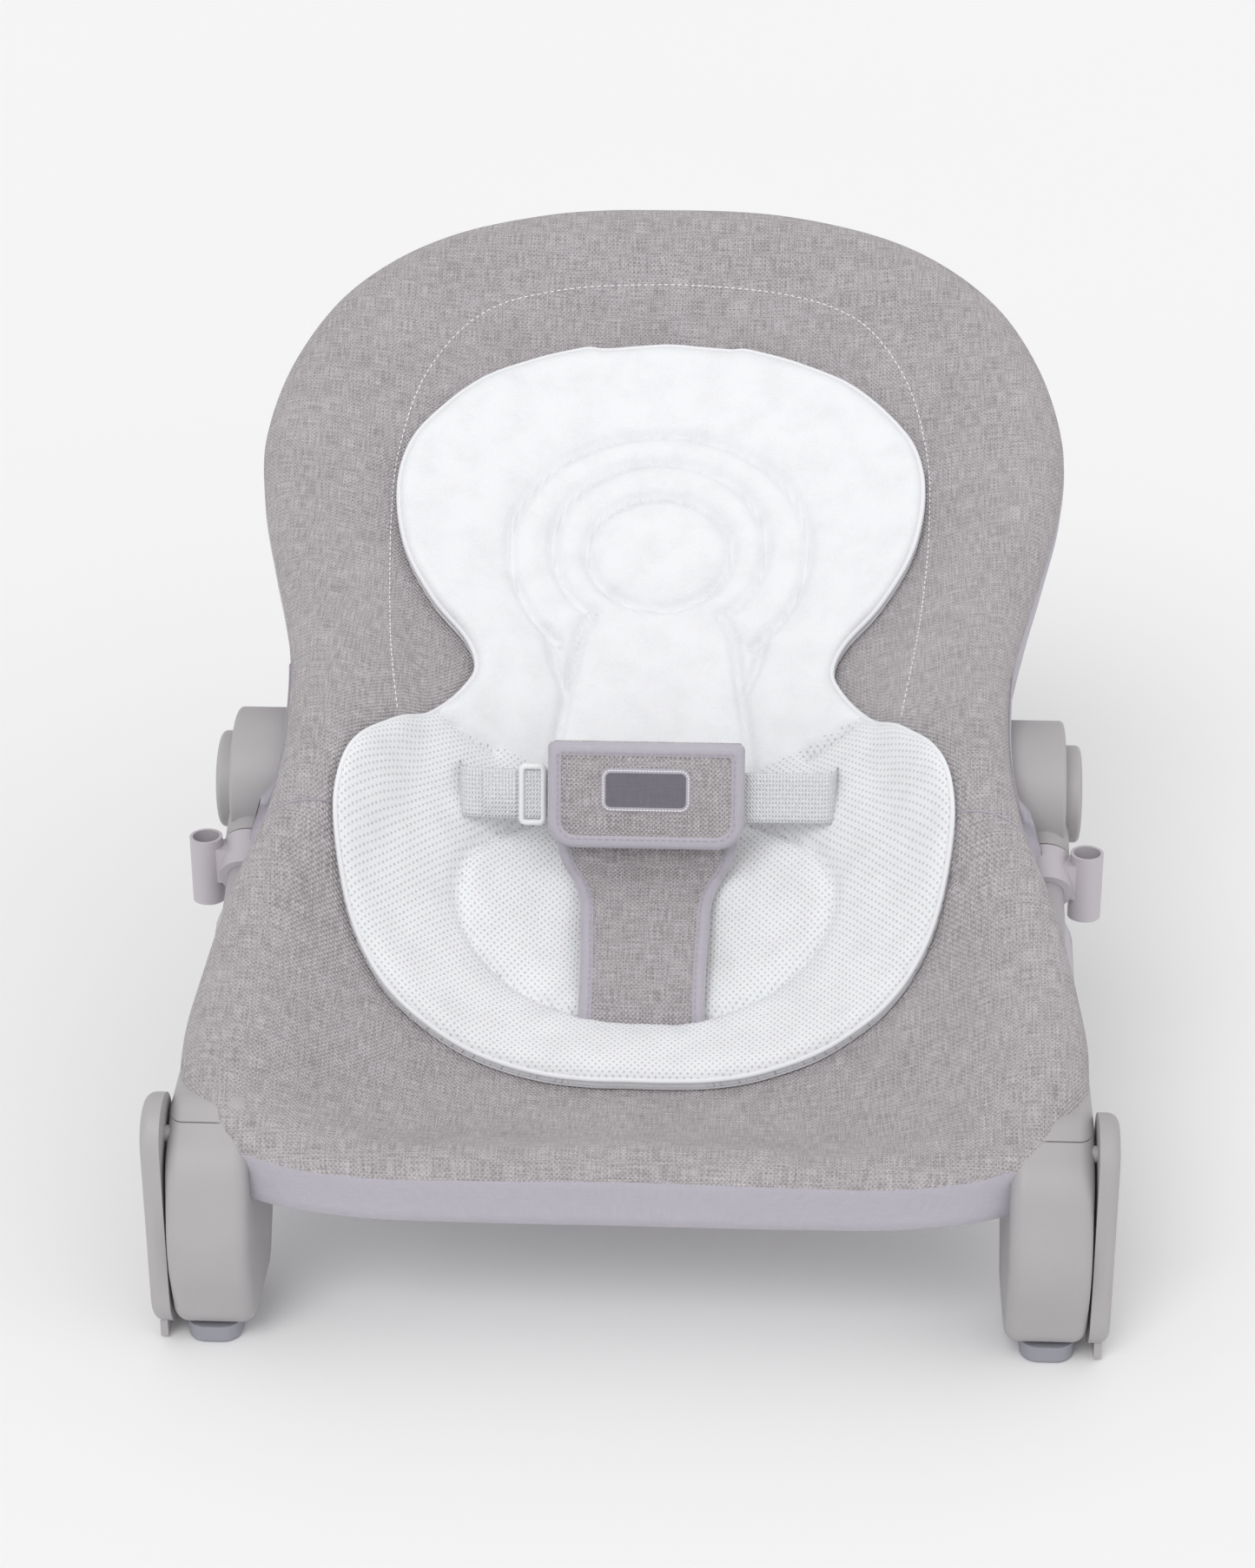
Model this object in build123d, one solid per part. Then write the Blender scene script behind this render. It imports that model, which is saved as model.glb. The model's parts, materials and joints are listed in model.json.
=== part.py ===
from build123d import *
import math
import os

# Baby bouncer seat. Millimetres, +Z up, the front faces -Y, and the X = 0 plane is
# the plane of symmetry. The origin is under the middle of the whole seat, on the floor.
# "Left" is the -X side and "right" the +X side. Places written (dy, dz) are measured
# from the recline axis, which runs along X through both hubs.

# Recline axis and the tilt of the two tube frames above level
hub_y = -32.3
hub_z = 185.0
seat_tilt = 24.5
back_tilt = 33.4

# Tubes
seat_tube_diameter = 18.0
back_tube_diameter = 16.0
leg_tube_diameter = 14.0
tube_wall = 1.5
seat_tube_x = 194.0
seat_tube_reach = 229.0
seat_corner_radius = 60.0
back_tube_hub_x = 165.0
back_tube_wide_x = 184.0
back_tube_wide_at = 150.0
back_tube_reach = 332.0
back_corner_radius = 145.0
rear_leg_x = 158.0
rear_leg_corner_radius = 45.0

# Hub stack on each side, measured out from the plane of symmetry
back_hub_inner_x = 156.0
back_hub_outer_x = 176.0
seat_hub_outer_x = 204.0
hub_running_gap = 0.5
back_hub_radius = 33.5
seat_hub_radius = 36.0
hub_cap_radius = 24.0
hub_cap_thickness = 8.0
button_travel = 6.0
pivot_bolt_radius = 4.0
bolt_head_radius = 7.0
bolt_head_height = 5.0
nut_radius = 7.5
nut_height = 5.0
lock_teeth = 48
lock_tip_radius = 26.0
lock_tooth_height = 2.0
lock_gear_width = 12.0
lock_fit = 0.3
prong_count = 3
prong_inner_radius = 10.5
prong_outer_radius = 15.5
prong_angle = 34.0

# Rear leg, its pivot below and behind the hub, and where its crossbar meets the floor
leg_pivot_dy = 30.0
leg_pivot_dz = -40.0
leg_pivot_boss_radius = 15.0
leg_knuckle_radius = 13.0
leg_knuckle_inner_x = 149.5
leg_knuckle_outer_x = 166.5
leg_neck_length = 48.0
leg_crossbar_dy = 250.0
rear_foot_radius = 11.0
rear_foot_length = 40.0
rear_foot_x = 90.0

# Front legs with their rocking stabilisers
front_leg_inner_x = 173.0
front_leg_outer_x = 211.0
front_leg_bottom = 9.0
front_leg_joint_dy = -195.0
leg_cap_seam_dz = -73.0
seam_gap = 0.5
front_foot_inner_x = 181.0
front_foot_outer_x = 206.0
stabiliser_gap = 1.0
stabiliser_thickness = 9.5
stabiliser_radius = 19.0
stabiliser_pivot_dy = -204.0
stabiliser_pivot_dz = -80.0
stabiliser_drop = 80.0
stabiliser_pad_clearance = 1.5
small_pin_radius = 4.0
screw_radius = 2.0
screw_head_radius = 4.0

# Toy-bar sockets on the seat tube
socket_x = 214.0
socket_along_tube = 52.0
socket_outer_radius = 8.0
socket_bore_radius = 6.5
socket_height = 34.0
socket_bore_depth = 28.0
socket_top_dz = -8.0
saddle_radius = 13.0
saddle_length = 20.0

# Padded cover on each frame
seat_half_width = 211.0
seat_front_overhang = 20.0
back_half_width = 206.0
back_waist_half_width = 172.0
back_waist_at = 42.0
back_top_overhang = 18.0
pad_half_thickness = 18.0
pad_edge_radius = 14.0
sling_thickness = 7.0
cushion_thickness = 12.0
apron_cushion_thickness = 8.5
soft_gap = 0.4
well_half_width = 146.0
apron_half_width = 120.0

# Crotch strap, buckle and waist belt
buckle_tilt = 76.0
buckle_offset = 21.5
buckle_half_width = 30.0
buckle_half_height = 17.0
buckle_half_thickness = 5.5
strap_thickness = 3.5
strap_half_width = 31.0
strap_top_half_width = 46.0
belt_width = 25.0
belt_thickness = 1.6
belt_level_until = 90.0
tongue_length = 16.0
flap_half_width = 48.0
flap_height = 53.0
flap_thickness = 4.0
flap_stand_off = 8.0
patch_width = 44.0
patch_height = 22.0
patch_thickness = 1.2
buckle_button_radius = 7.0
buckle_button_travel = 3.0

running_clearance = 0.2
push_fit = 0.1


def from_hub(dy, dz, x=0.0):
    """A point placed from the recline axis."""
    return (x, hub_y + dy, hub_z + dz)


def tilted_plane(angle, dy=0.0, dz=0.0):
    """A plane whose x is X and whose y climbs to the rear at this angle."""
    a = math.radians(angle)
    return Plane(origin=from_hub(dy, dz), x_dir=(1, 0, 0), z_dir=(0, -math.sin(a), math.cos(a)))


def side_plane(x):
    """The plane of a side view at this x: its own x is Y and its own y is Z."""
    return Plane(origin=(x, hub_y, hub_z), x_dir=(0, 1, 0), z_dir=(1, 0, 0))


def crosswise(radius, x0, x1, dy=0.0, dz=0.0):
    """A round bar along X."""
    return extrude(side_plane(x0) * Pos(dy, dz) * Circle(radius), x1 - x0)


def side_outline(points, radii, x0, x1):
    """A side-view outline with rounded corners, pushed out along X."""
    outline = make_face(FilletPolyline(*points, radius=radii, close=True))
    return extrude(side_plane(x0) * outline, x1 - x0)


def bent_tube(plane, points, radii, radius, wall=0.0):
    """A tube along straight runs joined by arcs: hollow when it has a wall."""
    path = plane * FilletPolyline(*points, radius=radii)
    section = Circle(radius) - Circle(radius - wall) if wall else Circle(radius)
    return sweep(Plane(origin=path @ 0, z_dir=path % 0) * section, path=path)


def ribbon(points, thickness, half_width):
    """A bent strip seen from the side: its upper line and how thick it hangs below."""
    lower = []
    for i, (y, z) in enumerate(points):
        before = points[max(i - 1, 0)]
        after = points[min(i + 1, len(points) - 1)]
        ry, rz = after[0] - before[0], after[1] - before[1]
        length = math.hypot(ry, rz)
        lower.append((y + rz / length * thickness, z - ry / length * thickness))
    outline = make_face(Polyline(*points, *reversed(lower), close=True))
    return extrude(side_plane(-half_width) * outline, 2 * half_width)


def seat_path():
    """The seat tube's half-loop on the seat plane, from hub to hub round the front."""
    start = -(lock_tip_radius + lock_fit + 1.2)
    corners = [(seat_tube_x, start), (seat_tube_x, -seat_tube_reach),
               (-seat_tube_x, -seat_tube_reach), (-seat_tube_x, start)]
    return corners, [seat_corner_radius, seat_corner_radius]


def back_path():
    """The back tube's hoop on the back plane, from hub to hub round the top."""
    start = lock_tip_radius + lock_fit + 3.7
    right = [(back_tube_hub_x, start), (back_tube_wide_x, back_tube_wide_at),
             (back_tube_wide_x, back_tube_reach)]
    left = [(-x, y) for x, y in reversed(right)]
    gentle = 200.0
    return right + left, [gentle, back_corner_radius, back_corner_radius, gentle]


def spline_outline(extra):
    """The toothed outline of the recline lock, grown by a clearance."""
    tip = lock_tip_radius + extra
    root = lock_tip_radius - lock_tooth_height + extra
    pitch = 2 * math.pi / lock_teeth
    play = extra / lock_tip_radius
    points = []
    for tooth in range(lock_teeth):
        middle = tooth * pitch
        for radius, offset in ((root, -0.30 * pitch - play), (tip, -0.17 * pitch - play),
                               (tip, 0.17 * pitch + play), (root, 0.30 * pitch + play)):
            angle = middle + offset
            points.append((radius * math.cos(angle), radius * math.sin(angle)))
    return make_face(Polyline(*points, close=True))


def prongs(extra, x0, x1):
    """The sectors that carry the push of the recline button to the lock gear."""
    ring = Circle(prong_outer_radius + extra) - Circle(prong_inner_radius - extra)
    reach = 2 * prong_outer_radius
    half = math.radians(prong_angle / 2) + extra / prong_inner_radius
    wedge = make_face(Polyline((0, 0), (reach, reach * math.tan(half)),
                               (reach, -reach * math.tan(half)), close=True))
    sectors = [Rot(0, 0, 90 + 360 / prong_count * i) * wedge & ring for i in range(prong_count)]
    group = Part() + [extrude(side_plane(x0) * sector, x1 - x0) for sector in sectors]
    return group


def seat_hub():
    """Outer half of the recline hub: seat tube socket, lock pocket and rear leg boss."""
    inner_x = back_hub_outer_x + hub_running_gap
    body = crosswise(seat_hub_radius, inner_x, seat_hub_outer_x)
    body = fillet(body.edges().filter_by(GeomType.CIRCLE).group_by(Axis.X)[-1], 2.0)
    body += crosswise(leg_pivot_boss_radius, leg_knuckle_outer_x + hub_running_gap,
                      seat_hub_outer_x, leg_pivot_dy, leg_pivot_dz)
    web = [(-12, -32), (leg_pivot_dy - 12, leg_pivot_dz - 8), (leg_pivot_dy + 12, leg_pivot_dz + 8),
           (34, 4)]
    body += extrude(side_plane(inner_x) * make_face(Polyline(*web, close=True)),
                    seat_hub_outer_x - inner_x)
    neck_end = socket_along_tube - saddle_length / 2 - 1.0
    neck = tilted_plane(seat_tilt) * Pos(seat_tube_x, -(neck_end + 15) / 2, 0)
    neck = neck * Rot(90, 0, 0) * Cylinder(seat_tube_diameter / 2 + 3.5, neck_end - 15)
    body += neck
    corners, radii = seat_path()
    body -= bent_tube(tilted_plane(seat_tilt), corners, radii, seat_tube_diameter / 2 + push_fit)
    gear_room = inner_x + lock_gear_width
    body -= extrude(side_plane(inner_x) * spline_outline(lock_fit), gear_room - inner_x)
    body -= prongs(0.5, gear_room, seat_hub_outer_x)
    recess = seat_hub_outer_x - button_travel
    body -= crosswise(hub_cap_radius + 0.5, recess, socket_x)
    body -= crosswise(nut_radius + running_clearance, recess - nut_height - 1, recess)
    body -= crosswise(pivot_bolt_radius + push_fit, inner_x, seat_hub_outer_x)
    body -= crosswise(small_pin_radius + push_fit, leg_knuckle_outer_x,
                      seat_hub_outer_x - 6, leg_pivot_dy, leg_pivot_dz)
    return body


def back_hub():
    """Inner half of the recline hub, which turns with the backrest."""
    body = crosswise(back_hub_radius, back_hub_inner_x, back_hub_outer_x)
    neck_start = lock_tip_radius + 1.0
    neck_end = 62.0
    neck = Pos(back_tube_hub_x, (neck_start + neck_end) / 2, 0)
    neck = neck * Rot(90, 0, 0) * Cylinder(back_tube_diameter / 2 + 2.5, neck_end - neck_start)
    lean = math.degrees(math.atan2(back_tube_wide_x - back_tube_hub_x,
                                   back_tube_wide_at - lock_tip_radius))
    turn_at = Pos(back_tube_hub_x, lock_tip_radius, 0)
    body += tilted_plane(back_tilt) * turn_at * Rot(0, 0, -lean) * turn_at.inverse() * neck
    keep = seat_hub_radius + 60
    body -= crosswise(keep, back_hub_outer_x, back_hub_outer_x + 30)
    corners, radii = back_path()
    body -= bent_tube(tilted_plane(back_tilt), corners, radii, back_tube_diameter / 2 + push_fit)
    pocket = back_hub_outer_x - lock_gear_width - 1
    body -= extrude(side_plane(pocket) * spline_outline(lock_fit), back_hub_outer_x - pocket)
    body -= crosswise(pivot_bolt_radius + running_clearance, back_hub_inner_x, back_hub_outer_x)
    return body


def lock_gear():
    """Toothed ring that locks the two hub halves together and slides to free them."""
    start = back_hub_outer_x - button_travel
    gear = extrude(side_plane(start) * spline_outline(0.0), lock_gear_width)
    gear -= crosswise(pivot_bolt_radius + 2.0, start, start + lock_gear_width)
    return gear


def recline_button():
    """Round cap on the hub with prongs that reach in to the lock gear."""
    gear_end = back_hub_outer_x - button_travel + lock_gear_width
    face = seat_hub_outer_x + 0.5
    cap = crosswise(hub_cap_radius, face, face + hub_cap_thickness)
    cap = fillet(cap.edges().filter_by(GeomType.CIRCLE).group_by(Axis.X)[-1], 2.5)
    return cap + prongs(0.0, gear_end, face)


def button_spring():
    """Return spring behind the lock gear, drawn as the tube its coils fill."""
    pocket = back_hub_outer_x - lock_gear_width - 1
    end = back_hub_outer_x - button_travel
    return crosswise(12.0, pocket, end) - crosswise(10.5, pocket, end)


def pivot_bolt():
    """Bolt on the recline axis, its head towards the seat."""
    head_start = back_hub_inner_x - 0.3 - bolt_head_height
    nut_start = seat_hub_outer_x - button_travel - nut_height - 1
    head = crosswise(bolt_head_radius, head_start, head_start + bolt_head_height)
    return head + crosswise(pivot_bolt_radius, head_start + bolt_head_height,
                            nut_start + nut_height)


def pivot_nut():
    """Nut on the end of the pivot bolt, sunk in the seat hub."""
    start = seat_hub_outer_x - button_travel - nut_height - 1
    hexagon = RegularPolygon(nut_radius, 6) - Circle(pivot_bolt_radius)
    return extrude(side_plane(start) * hexagon, nut_height)


def leg_direction():
    """Angle of the rear leg below level, and its length from pivot to crossbar."""
    drop = hub_z + leg_pivot_dz - rear_foot_radius
    run = leg_crossbar_dy - leg_pivot_dy
    return -math.degrees(math.atan2(drop, run)), math.hypot(drop, run)


def rear_leg_path():
    """The rear leg's loop on its own plane, from knuckle to knuckle round the floor bar."""
    length = leg_direction()[1]
    start = leg_knuckle_radius + 2.0
    corners = [(rear_leg_x, start), (rear_leg_x, length), (-rear_leg_x, length),
               (-rear_leg_x, start)]
    return corners, [rear_leg_corner_radius, rear_leg_corner_radius]


def leg_plane():
    return tilted_plane(leg_direction()[0], leg_pivot_dy, leg_pivot_dz)


def rear_leg_tube():
    corners, radii = rear_leg_path()
    return bent_tube(leg_plane(), corners, radii, leg_tube_diameter / 2, tube_wall)


def rear_knuckle():
    """Moulded end of the rear leg, turning on the pin in the seat hub."""
    body = crosswise(leg_knuckle_radius, leg_knuckle_inner_x, leg_knuckle_outer_x,
                     leg_pivot_dy, leg_pivot_dz)
    width = leg_knuckle_outer_x - leg_knuckle_inner_x
    neck = Pos(leg_knuckle_inner_x + width / 2, leg_neck_length / 2, 0)
    body += leg_plane() * neck * Box(width, leg_neck_length, 2 * leg_knuckle_radius - 6)
    body -= crosswise(small_pin_radius + running_clearance, leg_knuckle_inner_x,
                      leg_knuckle_outer_x, leg_pivot_dy, leg_pivot_dz)
    corners, radii = rear_leg_path()
    return body - bent_tube(leg_plane(), corners, radii, leg_tube_diameter / 2 + push_fit)


def leg_pin():
    """Headed pin through the rear leg's knuckle into the boss of the seat hub."""
    head_start = leg_knuckle_inner_x - 3.0
    head = crosswise(6.0, head_start, leg_knuckle_inner_x - 0.2, leg_pivot_dy, leg_pivot_dz)
    return head + crosswise(small_pin_radius, leg_knuckle_inner_x - 0.2, seat_hub_outer_x - 6.5,
                            leg_pivot_dy, leg_pivot_dz)


def rear_foot():
    """Rubber sleeve on the floor bar of the rear leg."""
    start = rear_foot_x - rear_foot_length / 2
    dz = rear_foot_radius - hub_z
    sleeve = crosswise(rear_foot_radius, start, start + rear_foot_length, leg_crossbar_dy, dz)
    return sleeve - crosswise(leg_tube_diameter / 2 + push_fit, start,
                              start + rear_foot_length, leg_crossbar_dy, dz)


def front_leg_block():
    """Whole outline of a front leg, before it is cut into its mouldings."""
    bottom = front_leg_bottom - hub_z
    points = [(-221, bottom), (-234, -132), (-222, -85), (-197, -66), (-152, -62), (-136, -80),
              (-140, -140), (-165, bottom)]
    block = side_outline(points, [16, 60, 30, 12, 12, 15, 40, 16],
                         front_leg_inner_x, front_leg_outer_x)
    rims = block.faces().filter_by(Axis.X).edges()
    return fillet(rims, 7.0)


def leg_screw_places():
    """Heights of the two screws that join the front and rear mouldings."""
    return [-155.0, -112.0]


def leg_screws():
    """Two screws driven from the rear of a front leg."""
    x = (front_leg_inner_x + front_leg_outer_x) / 2
    group = []
    for dz in leg_screw_places():
        along = Plane(origin=from_hub(-158, dz, x), z_dir=(0, -1, 0))
        shank = extrude(along * Circle(screw_radius), 48)
        head = extrude(along * Circle(screw_head_radius), -3)
        group.append(shank + head)
    return Compound(children=group)


def front_leg_pieces():
    """Front moulding, rear moulding and cap of one front leg."""
    corners, radii = seat_path()
    block = front_leg_block()
    block -= bent_tube(tilted_plane(seat_tilt), corners, radii, seat_tube_diameter / 2 + push_fit)
    x = (front_leg_inner_x + front_leg_outer_x) / 2
    for dz in leg_screw_places():
        along = Plane(origin=from_hub(-158, dz, x), z_dir=(0, -1, 0))
        block -= extrude(along * Circle(screw_radius + push_fit), 49)
        block -= extrude(along * Circle(screw_head_radius + push_fit), -40)
    block -= crosswise(small_pin_radius + running_clearance, front_leg_outer_x - 16,
                       front_leg_outer_x, stabiliser_pivot_dy, stabiliser_pivot_dz)
    size = 400.0
    above = Pos(*from_hub(0, leg_cap_seam_dz + seam_gap + size / 2)) * Box(size * 2, size * 2, size)
    below = Pos(*from_hub(0, leg_cap_seam_dz - size / 2)) * Box(size * 2, size * 2, size)
    ahead = Pos(*from_hub(front_leg_joint_dy - size / 2, 0)) * Box(size * 2, size, size * 2)
    behind = Pos(*from_hub(front_leg_joint_dy + size / 2, 0)) * Box(size * 2, size, size * 2)
    return block & below & ahead, block & below & behind, block & above


def front_foot():
    """Rubber pad under a front leg."""
    plan = Pos((front_foot_inner_x + front_foot_outer_x) / 2, hub_y - 193)
    outline = plan * RectangleRounded(front_foot_outer_x - front_foot_inner_x, 52, 9)
    pad = extrude(outline, front_leg_bottom)
    return fillet(pad.edges().group_by(Axis.Z)[0], 2.0)


def stabiliser():
    """Outboard plate that swings down to stop the front legs rocking."""
    x0 = front_leg_outer_x + stabiliser_gap
    plate = Pos(stabiliser_pivot_dy, stabiliser_pivot_dz - stabiliser_drop / 2)
    outline = plate * Rot(0, 0, 90) * SlotCenterToCenter(stabiliser_drop, 2 * stabiliser_radius)
    body = extrude(side_plane(x0) * outline, stabiliser_thickness)
    body = fillet(body.faces().sort_by(Axis.X)[-1].edges(), 5.0)
    return body - crosswise(small_pin_radius + push_fit, x0, x0 + stabiliser_thickness - 3,
                            stabiliser_pivot_dy, stabiliser_pivot_dz)


def stabiliser_pin():
    end = front_leg_outer_x + stabiliser_gap + stabiliser_thickness - 3
    return crosswise(small_pin_radius, front_leg_outer_x - 15, end,
                     stabiliser_pivot_dy, stabiliser_pivot_dz)


def stabiliser_pad():
    """Rubber strip along the foot of the stabiliser."""
    x0 = front_leg_outer_x + stabiliser_gap + 3
    bottom = stabiliser_pivot_dz - stabiliser_drop - stabiliser_radius
    low = stabiliser_pad_clearance - hub_z
    y0, y1 = stabiliser_pivot_dy - 12, stabiliser_pivot_dy + 12
    outline = make_face(Polyline((y0, low), (y1, low), (y1, bottom + 8), (y0, bottom + 8),
                                 close=True))
    strip = extrude(side_plane(x0) * outline, stabiliser_thickness - 6)
    plate = crosswise(stabiliser_radius, x0 - 5, x0 + stabiliser_thickness,
                      stabiliser_pivot_dy, stabiliser_pivot_dz - stabiliser_drop)
    return strip - plate


def toy_bar_socket():
    """Upright socket for a toy bar, on a saddle round the seat tube."""
    along = tilted_plane(seat_tilt) * Pos(seat_tube_x, -socket_along_tube, 0) * Rot(90, 0, 0)
    body = along * Cylinder(saddle_radius, saddle_length)
    tilt = math.radians(seat_tilt)
    dy = -socket_along_tube * math.cos(tilt)
    tube_dz = -socket_along_tube * math.sin(tilt)
    low = socket_top_dz - socket_height
    cup = Plane(origin=from_hub(dy, low, socket_x))
    body += extrude(cup * Circle(socket_outer_radius), socket_height)
    arm = Pos(*from_hub(dy, tube_dz, (seat_tube_x + socket_x) / 2))
    body += arm * Box(socket_x - seat_tube_x, 12, 18)
    body -= along * Cylinder(seat_tube_diameter / 2 + push_fit, saddle_length + 20)
    mouth = Plane(origin=from_hub(dy, socket_top_dz, socket_x), z_dir=(0, 0, -1))
    return body - extrude(mouth * Circle(socket_bore_radius), socket_bore_depth)


def bowl(upper, upper_size, lower, lower_size, inset, rise=0.0):
    """A hanging bowl between an opening and a floor, shrunk inwards by an inset."""
    def section(plane, size, lift):
        half_x, half_y, corner = size
        outline = RectangleRounded(2 * (half_x - inset), 2 * (half_y - inset), corner - inset)
        return plane * Pos(0, 0, lift) * outline
    top = section(upper, upper_size, 0.0)
    bottom = section(lower, lower_size, inset)
    body = loft([bottom.face(), top.face()])
    if rise:
        body += extrude(top, rise)
    return body


def seat_bowl(inset, rise=0.0):
    """The sling of the seat, at one depth inside its outer surface."""
    upper = tilted_plane(seat_tilt) * Pos(0, -134, -8)
    lower = Location(from_hub(-103, -110))
    return bowl(upper, (well_half_width, 78, 62), lower, (104, 62, 46), inset, rise)


def back_bowl(inset, rise=0.0):
    """The sling of the backrest, at one depth inside its outer surface."""
    upper = tilted_plane(back_tilt) * Pos(0, 172, -4)
    lower = tilted_plane(back_tilt) * Pos(0, 165, -38) * Rot(4.5, 0, 0)
    return bowl(upper, (well_half_width, 128, 90), lower, (104, 112, 70), inset, rise)


def apron_line(lift):
    """Upper line of the sling where it climbs from the seat to the backrest."""
    return [(-64 - lift * 0.4, -103 + lift), (-18 - lift * 0.5, -62 + lift), (24, -44 + lift)]


def apron_room(half_width):
    """Open space over that part of the sling, and a little ahead of it."""
    line = apron_line(0.0)
    start = line[0][0] - 12
    outline = [*line, (line[-1][0] + 1, 60), (start, 60), (start, line[0][1] + 0.01)]
    room = make_face(Polyline(*outline, close=True))
    return extrude(side_plane(-half_width) * room, 2 * half_width)


def rim_slab(plane, points, radii):
    """Padded slab round a tube frame, before its well is cut."""
    outline = make_face(FilletPolyline(*points, radius=radii, close=True))
    slab = extrude(plane * Pos(0, 0, -pad_half_thickness) * outline, 2 * pad_half_thickness)
    flats = [face for face in slab.faces().filter_by(GeomType.PLANE)
             if abs(face.normal_at().dot(plane.z_dir)) > 0.99]
    return fillet([edge for face in flats for edge in face.edges()], pad_edge_radius)


def seat_padding():
    """Padded cover on the seat tube with the sling that hangs in it."""
    front = -(seat_tube_reach + seat_front_overhang)
    side_end = -(socket_along_tube + saddle_length / 2 + 13)
    hub_end = -(seat_hub_radius + 7)
    inboard = seat_tube_x - seat_tube_diameter / 2 - 8
    right = [(inboard, hub_end), (inboard, side_end), (seat_half_width, side_end - 26),
             (seat_half_width, front)]
    left = [(-x, y) for x, y in reversed(right)]
    body = rim_slab(tilted_plane(seat_tilt), right + left, [15, 20, 30, 80, 80, 30, 20, 15])
    body += seat_bowl(0.0)
    body += ribbon(apron_line(0.0), sling_thickness, apron_half_width)
    body -= seat_bowl(sling_thickness, 60.0)
    body -= apron_room(apron_half_width - sling_thickness)
    corners, radii = seat_path()
    body -= bent_tube(tilted_plane(seat_tilt), corners, radii,
                      seat_tube_diameter / 2 + soft_gap)
    block = front_leg_block()
    grown = scale(block, by=(1.03, 1.0, 1.0))
    middle = (front_leg_inner_x + front_leg_outer_x) / 2
    grown = Pos(-0.03 * middle, 0, 0) * grown
    for x_sign in (1, -1):
        leg = grown if x_sign == 1 else mirror(grown, about=Plane.YZ)
        body -= leg
    return body


def back_padding():
    """Padded cover on the back tube with its shallow sling."""
    top = back_tube_reach + back_top_overhang
    right = [(back_waist_half_width, back_waist_at), (back_half_width, back_tube_wide_at),
             (back_half_width, top)]
    left = [(-x, y) for x, y in reversed(right)]
    body = rim_slab(tilted_plane(back_tilt), right + left, [12, 120, 165, 165, 120, 12])
    body += back_bowl(0.0)
    body -= back_bowl(sling_thickness, 60.0)
    corners, radii = back_path()
    body -= bent_tube(tilted_plane(back_tilt), corners, radii, back_tube_diameter / 2 + soft_gap)
    hub_room = back_hub_inner_x - 3
    for x0 in (hub_room, -hub_room - 30):
        neck_room = tilted_plane(back_tilt) * Pos(x0 + 15, 40, 0) * Box(30, 48, 30)
        body -= neck_room
    return body


def cushion(bowl_at):
    """Padded insert that lines a sling."""
    outer = bowl_at(sling_thickness + soft_gap)
    return outer - bowl_at(sling_thickness + soft_gap + cushion_thickness, 60.0)


def seat_cushion():
    """Seat half of the insert, open to the rear and slotted for the crotch strap."""
    half_width = apron_half_width - sling_thickness - soft_gap
    body = cushion(seat_bowl)
    behind = apron_line(0.0)[0][0]
    body -= Pos(*from_hub(behind + 60, 0)) * Box(2 * half_width, 120, 400)
    body += ribbon(apron_line(soft_gap + cushion_thickness), apron_cushion_thickness, half_width)
    return body - strap_slot()


def buckle_plane():
    """Plane of the buckle: its y runs up the strap and its z faces the front."""
    a = math.radians(buckle_tilt)
    return tilted_plane(buckle_tilt, -buckle_offset * math.sin(a), buckle_offset * math.cos(a))


def strap_slot():
    """Where the crotch strap comes up through the seat insert."""
    low = -110 + sling_thickness
    slot = Pos(*from_hub(-101.5, low + 20)) * Box(2 * strap_half_width + 3, 12, 60)
    return slot


def crotch_strap():
    """Strap from the sling up to the buckle, folded over the top of it."""
    back = -(buckle_half_thickness + 0.5)
    plane = buckle_plane()
    foot_y, foot_z = -101.0, -110 + sling_thickness + 0.3
    a = math.radians(buckle_tilt)
    centre = (-buckle_offset * math.sin(a), buckle_offset * math.cos(a))
    knee_up = -(buckle_half_height + 18)
    knee = (centre[0] + knee_up * math.cos(a) - back * math.sin(a),
            centre[1] + knee_up * math.sin(a) + back * math.cos(a))
    top = buckle_half_height + 8
    crest = (knee[0] + (top - knee_up) * math.cos(a), knee[1] + (top - knee_up) * math.sin(a))
    run = [(foot_y, foot_z), (foot_y + 2, foot_z + 24), knee, crest]
    body = ribbon(run, strap_thickness, strap_half_width)
    wide_low = -buckle_half_height
    wide = Pos(0, (wide_low + top) / 2, back - strap_thickness / 2)
    body += plane * wide * Box(2 * strap_top_half_width, top - wide_low, strap_thickness)
    fold_front = flap_stand_off - 0.6
    fold_depth = fold_front - back + strap_thickness
    fold = Pos(0, top + strap_thickness / 2, fold_front - fold_depth / 2)
    return body + plane * fold * Box(2 * strap_top_half_width, strap_thickness, fold_depth)


def buckle_body():
    """Shell of the buckle with a pocket for each tongue and a bore for its button."""
    plane = buckle_plane()
    body = Box(2 * buckle_half_width, 2 * buckle_half_height, 2 * buckle_half_thickness)
    body = fillet(body.edges().filter_by(Axis.Z), 5.0)
    for x_sign in (1, -1):
        pocket = Pos(x_sign * (buckle_half_width - 7), 0, 0)
        body -= pocket * Box(16, 17, 3.6)
    depth = buckle_button_travel + 4.5
    bore = Pos(0, 0, buckle_half_thickness - depth / 2)
    body -= bore * Cylinder(buckle_button_radius + running_clearance, depth)
    return plane * body


def buckle_button():
    """Press button in the middle of the buckle."""
    low = buckle_half_thickness - buckle_button_travel - 1.0
    button = Pos(0, 0, low + 2.75) * Cylinder(buckle_button_radius, 5.5)
    return buckle_plane() * button


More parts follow.
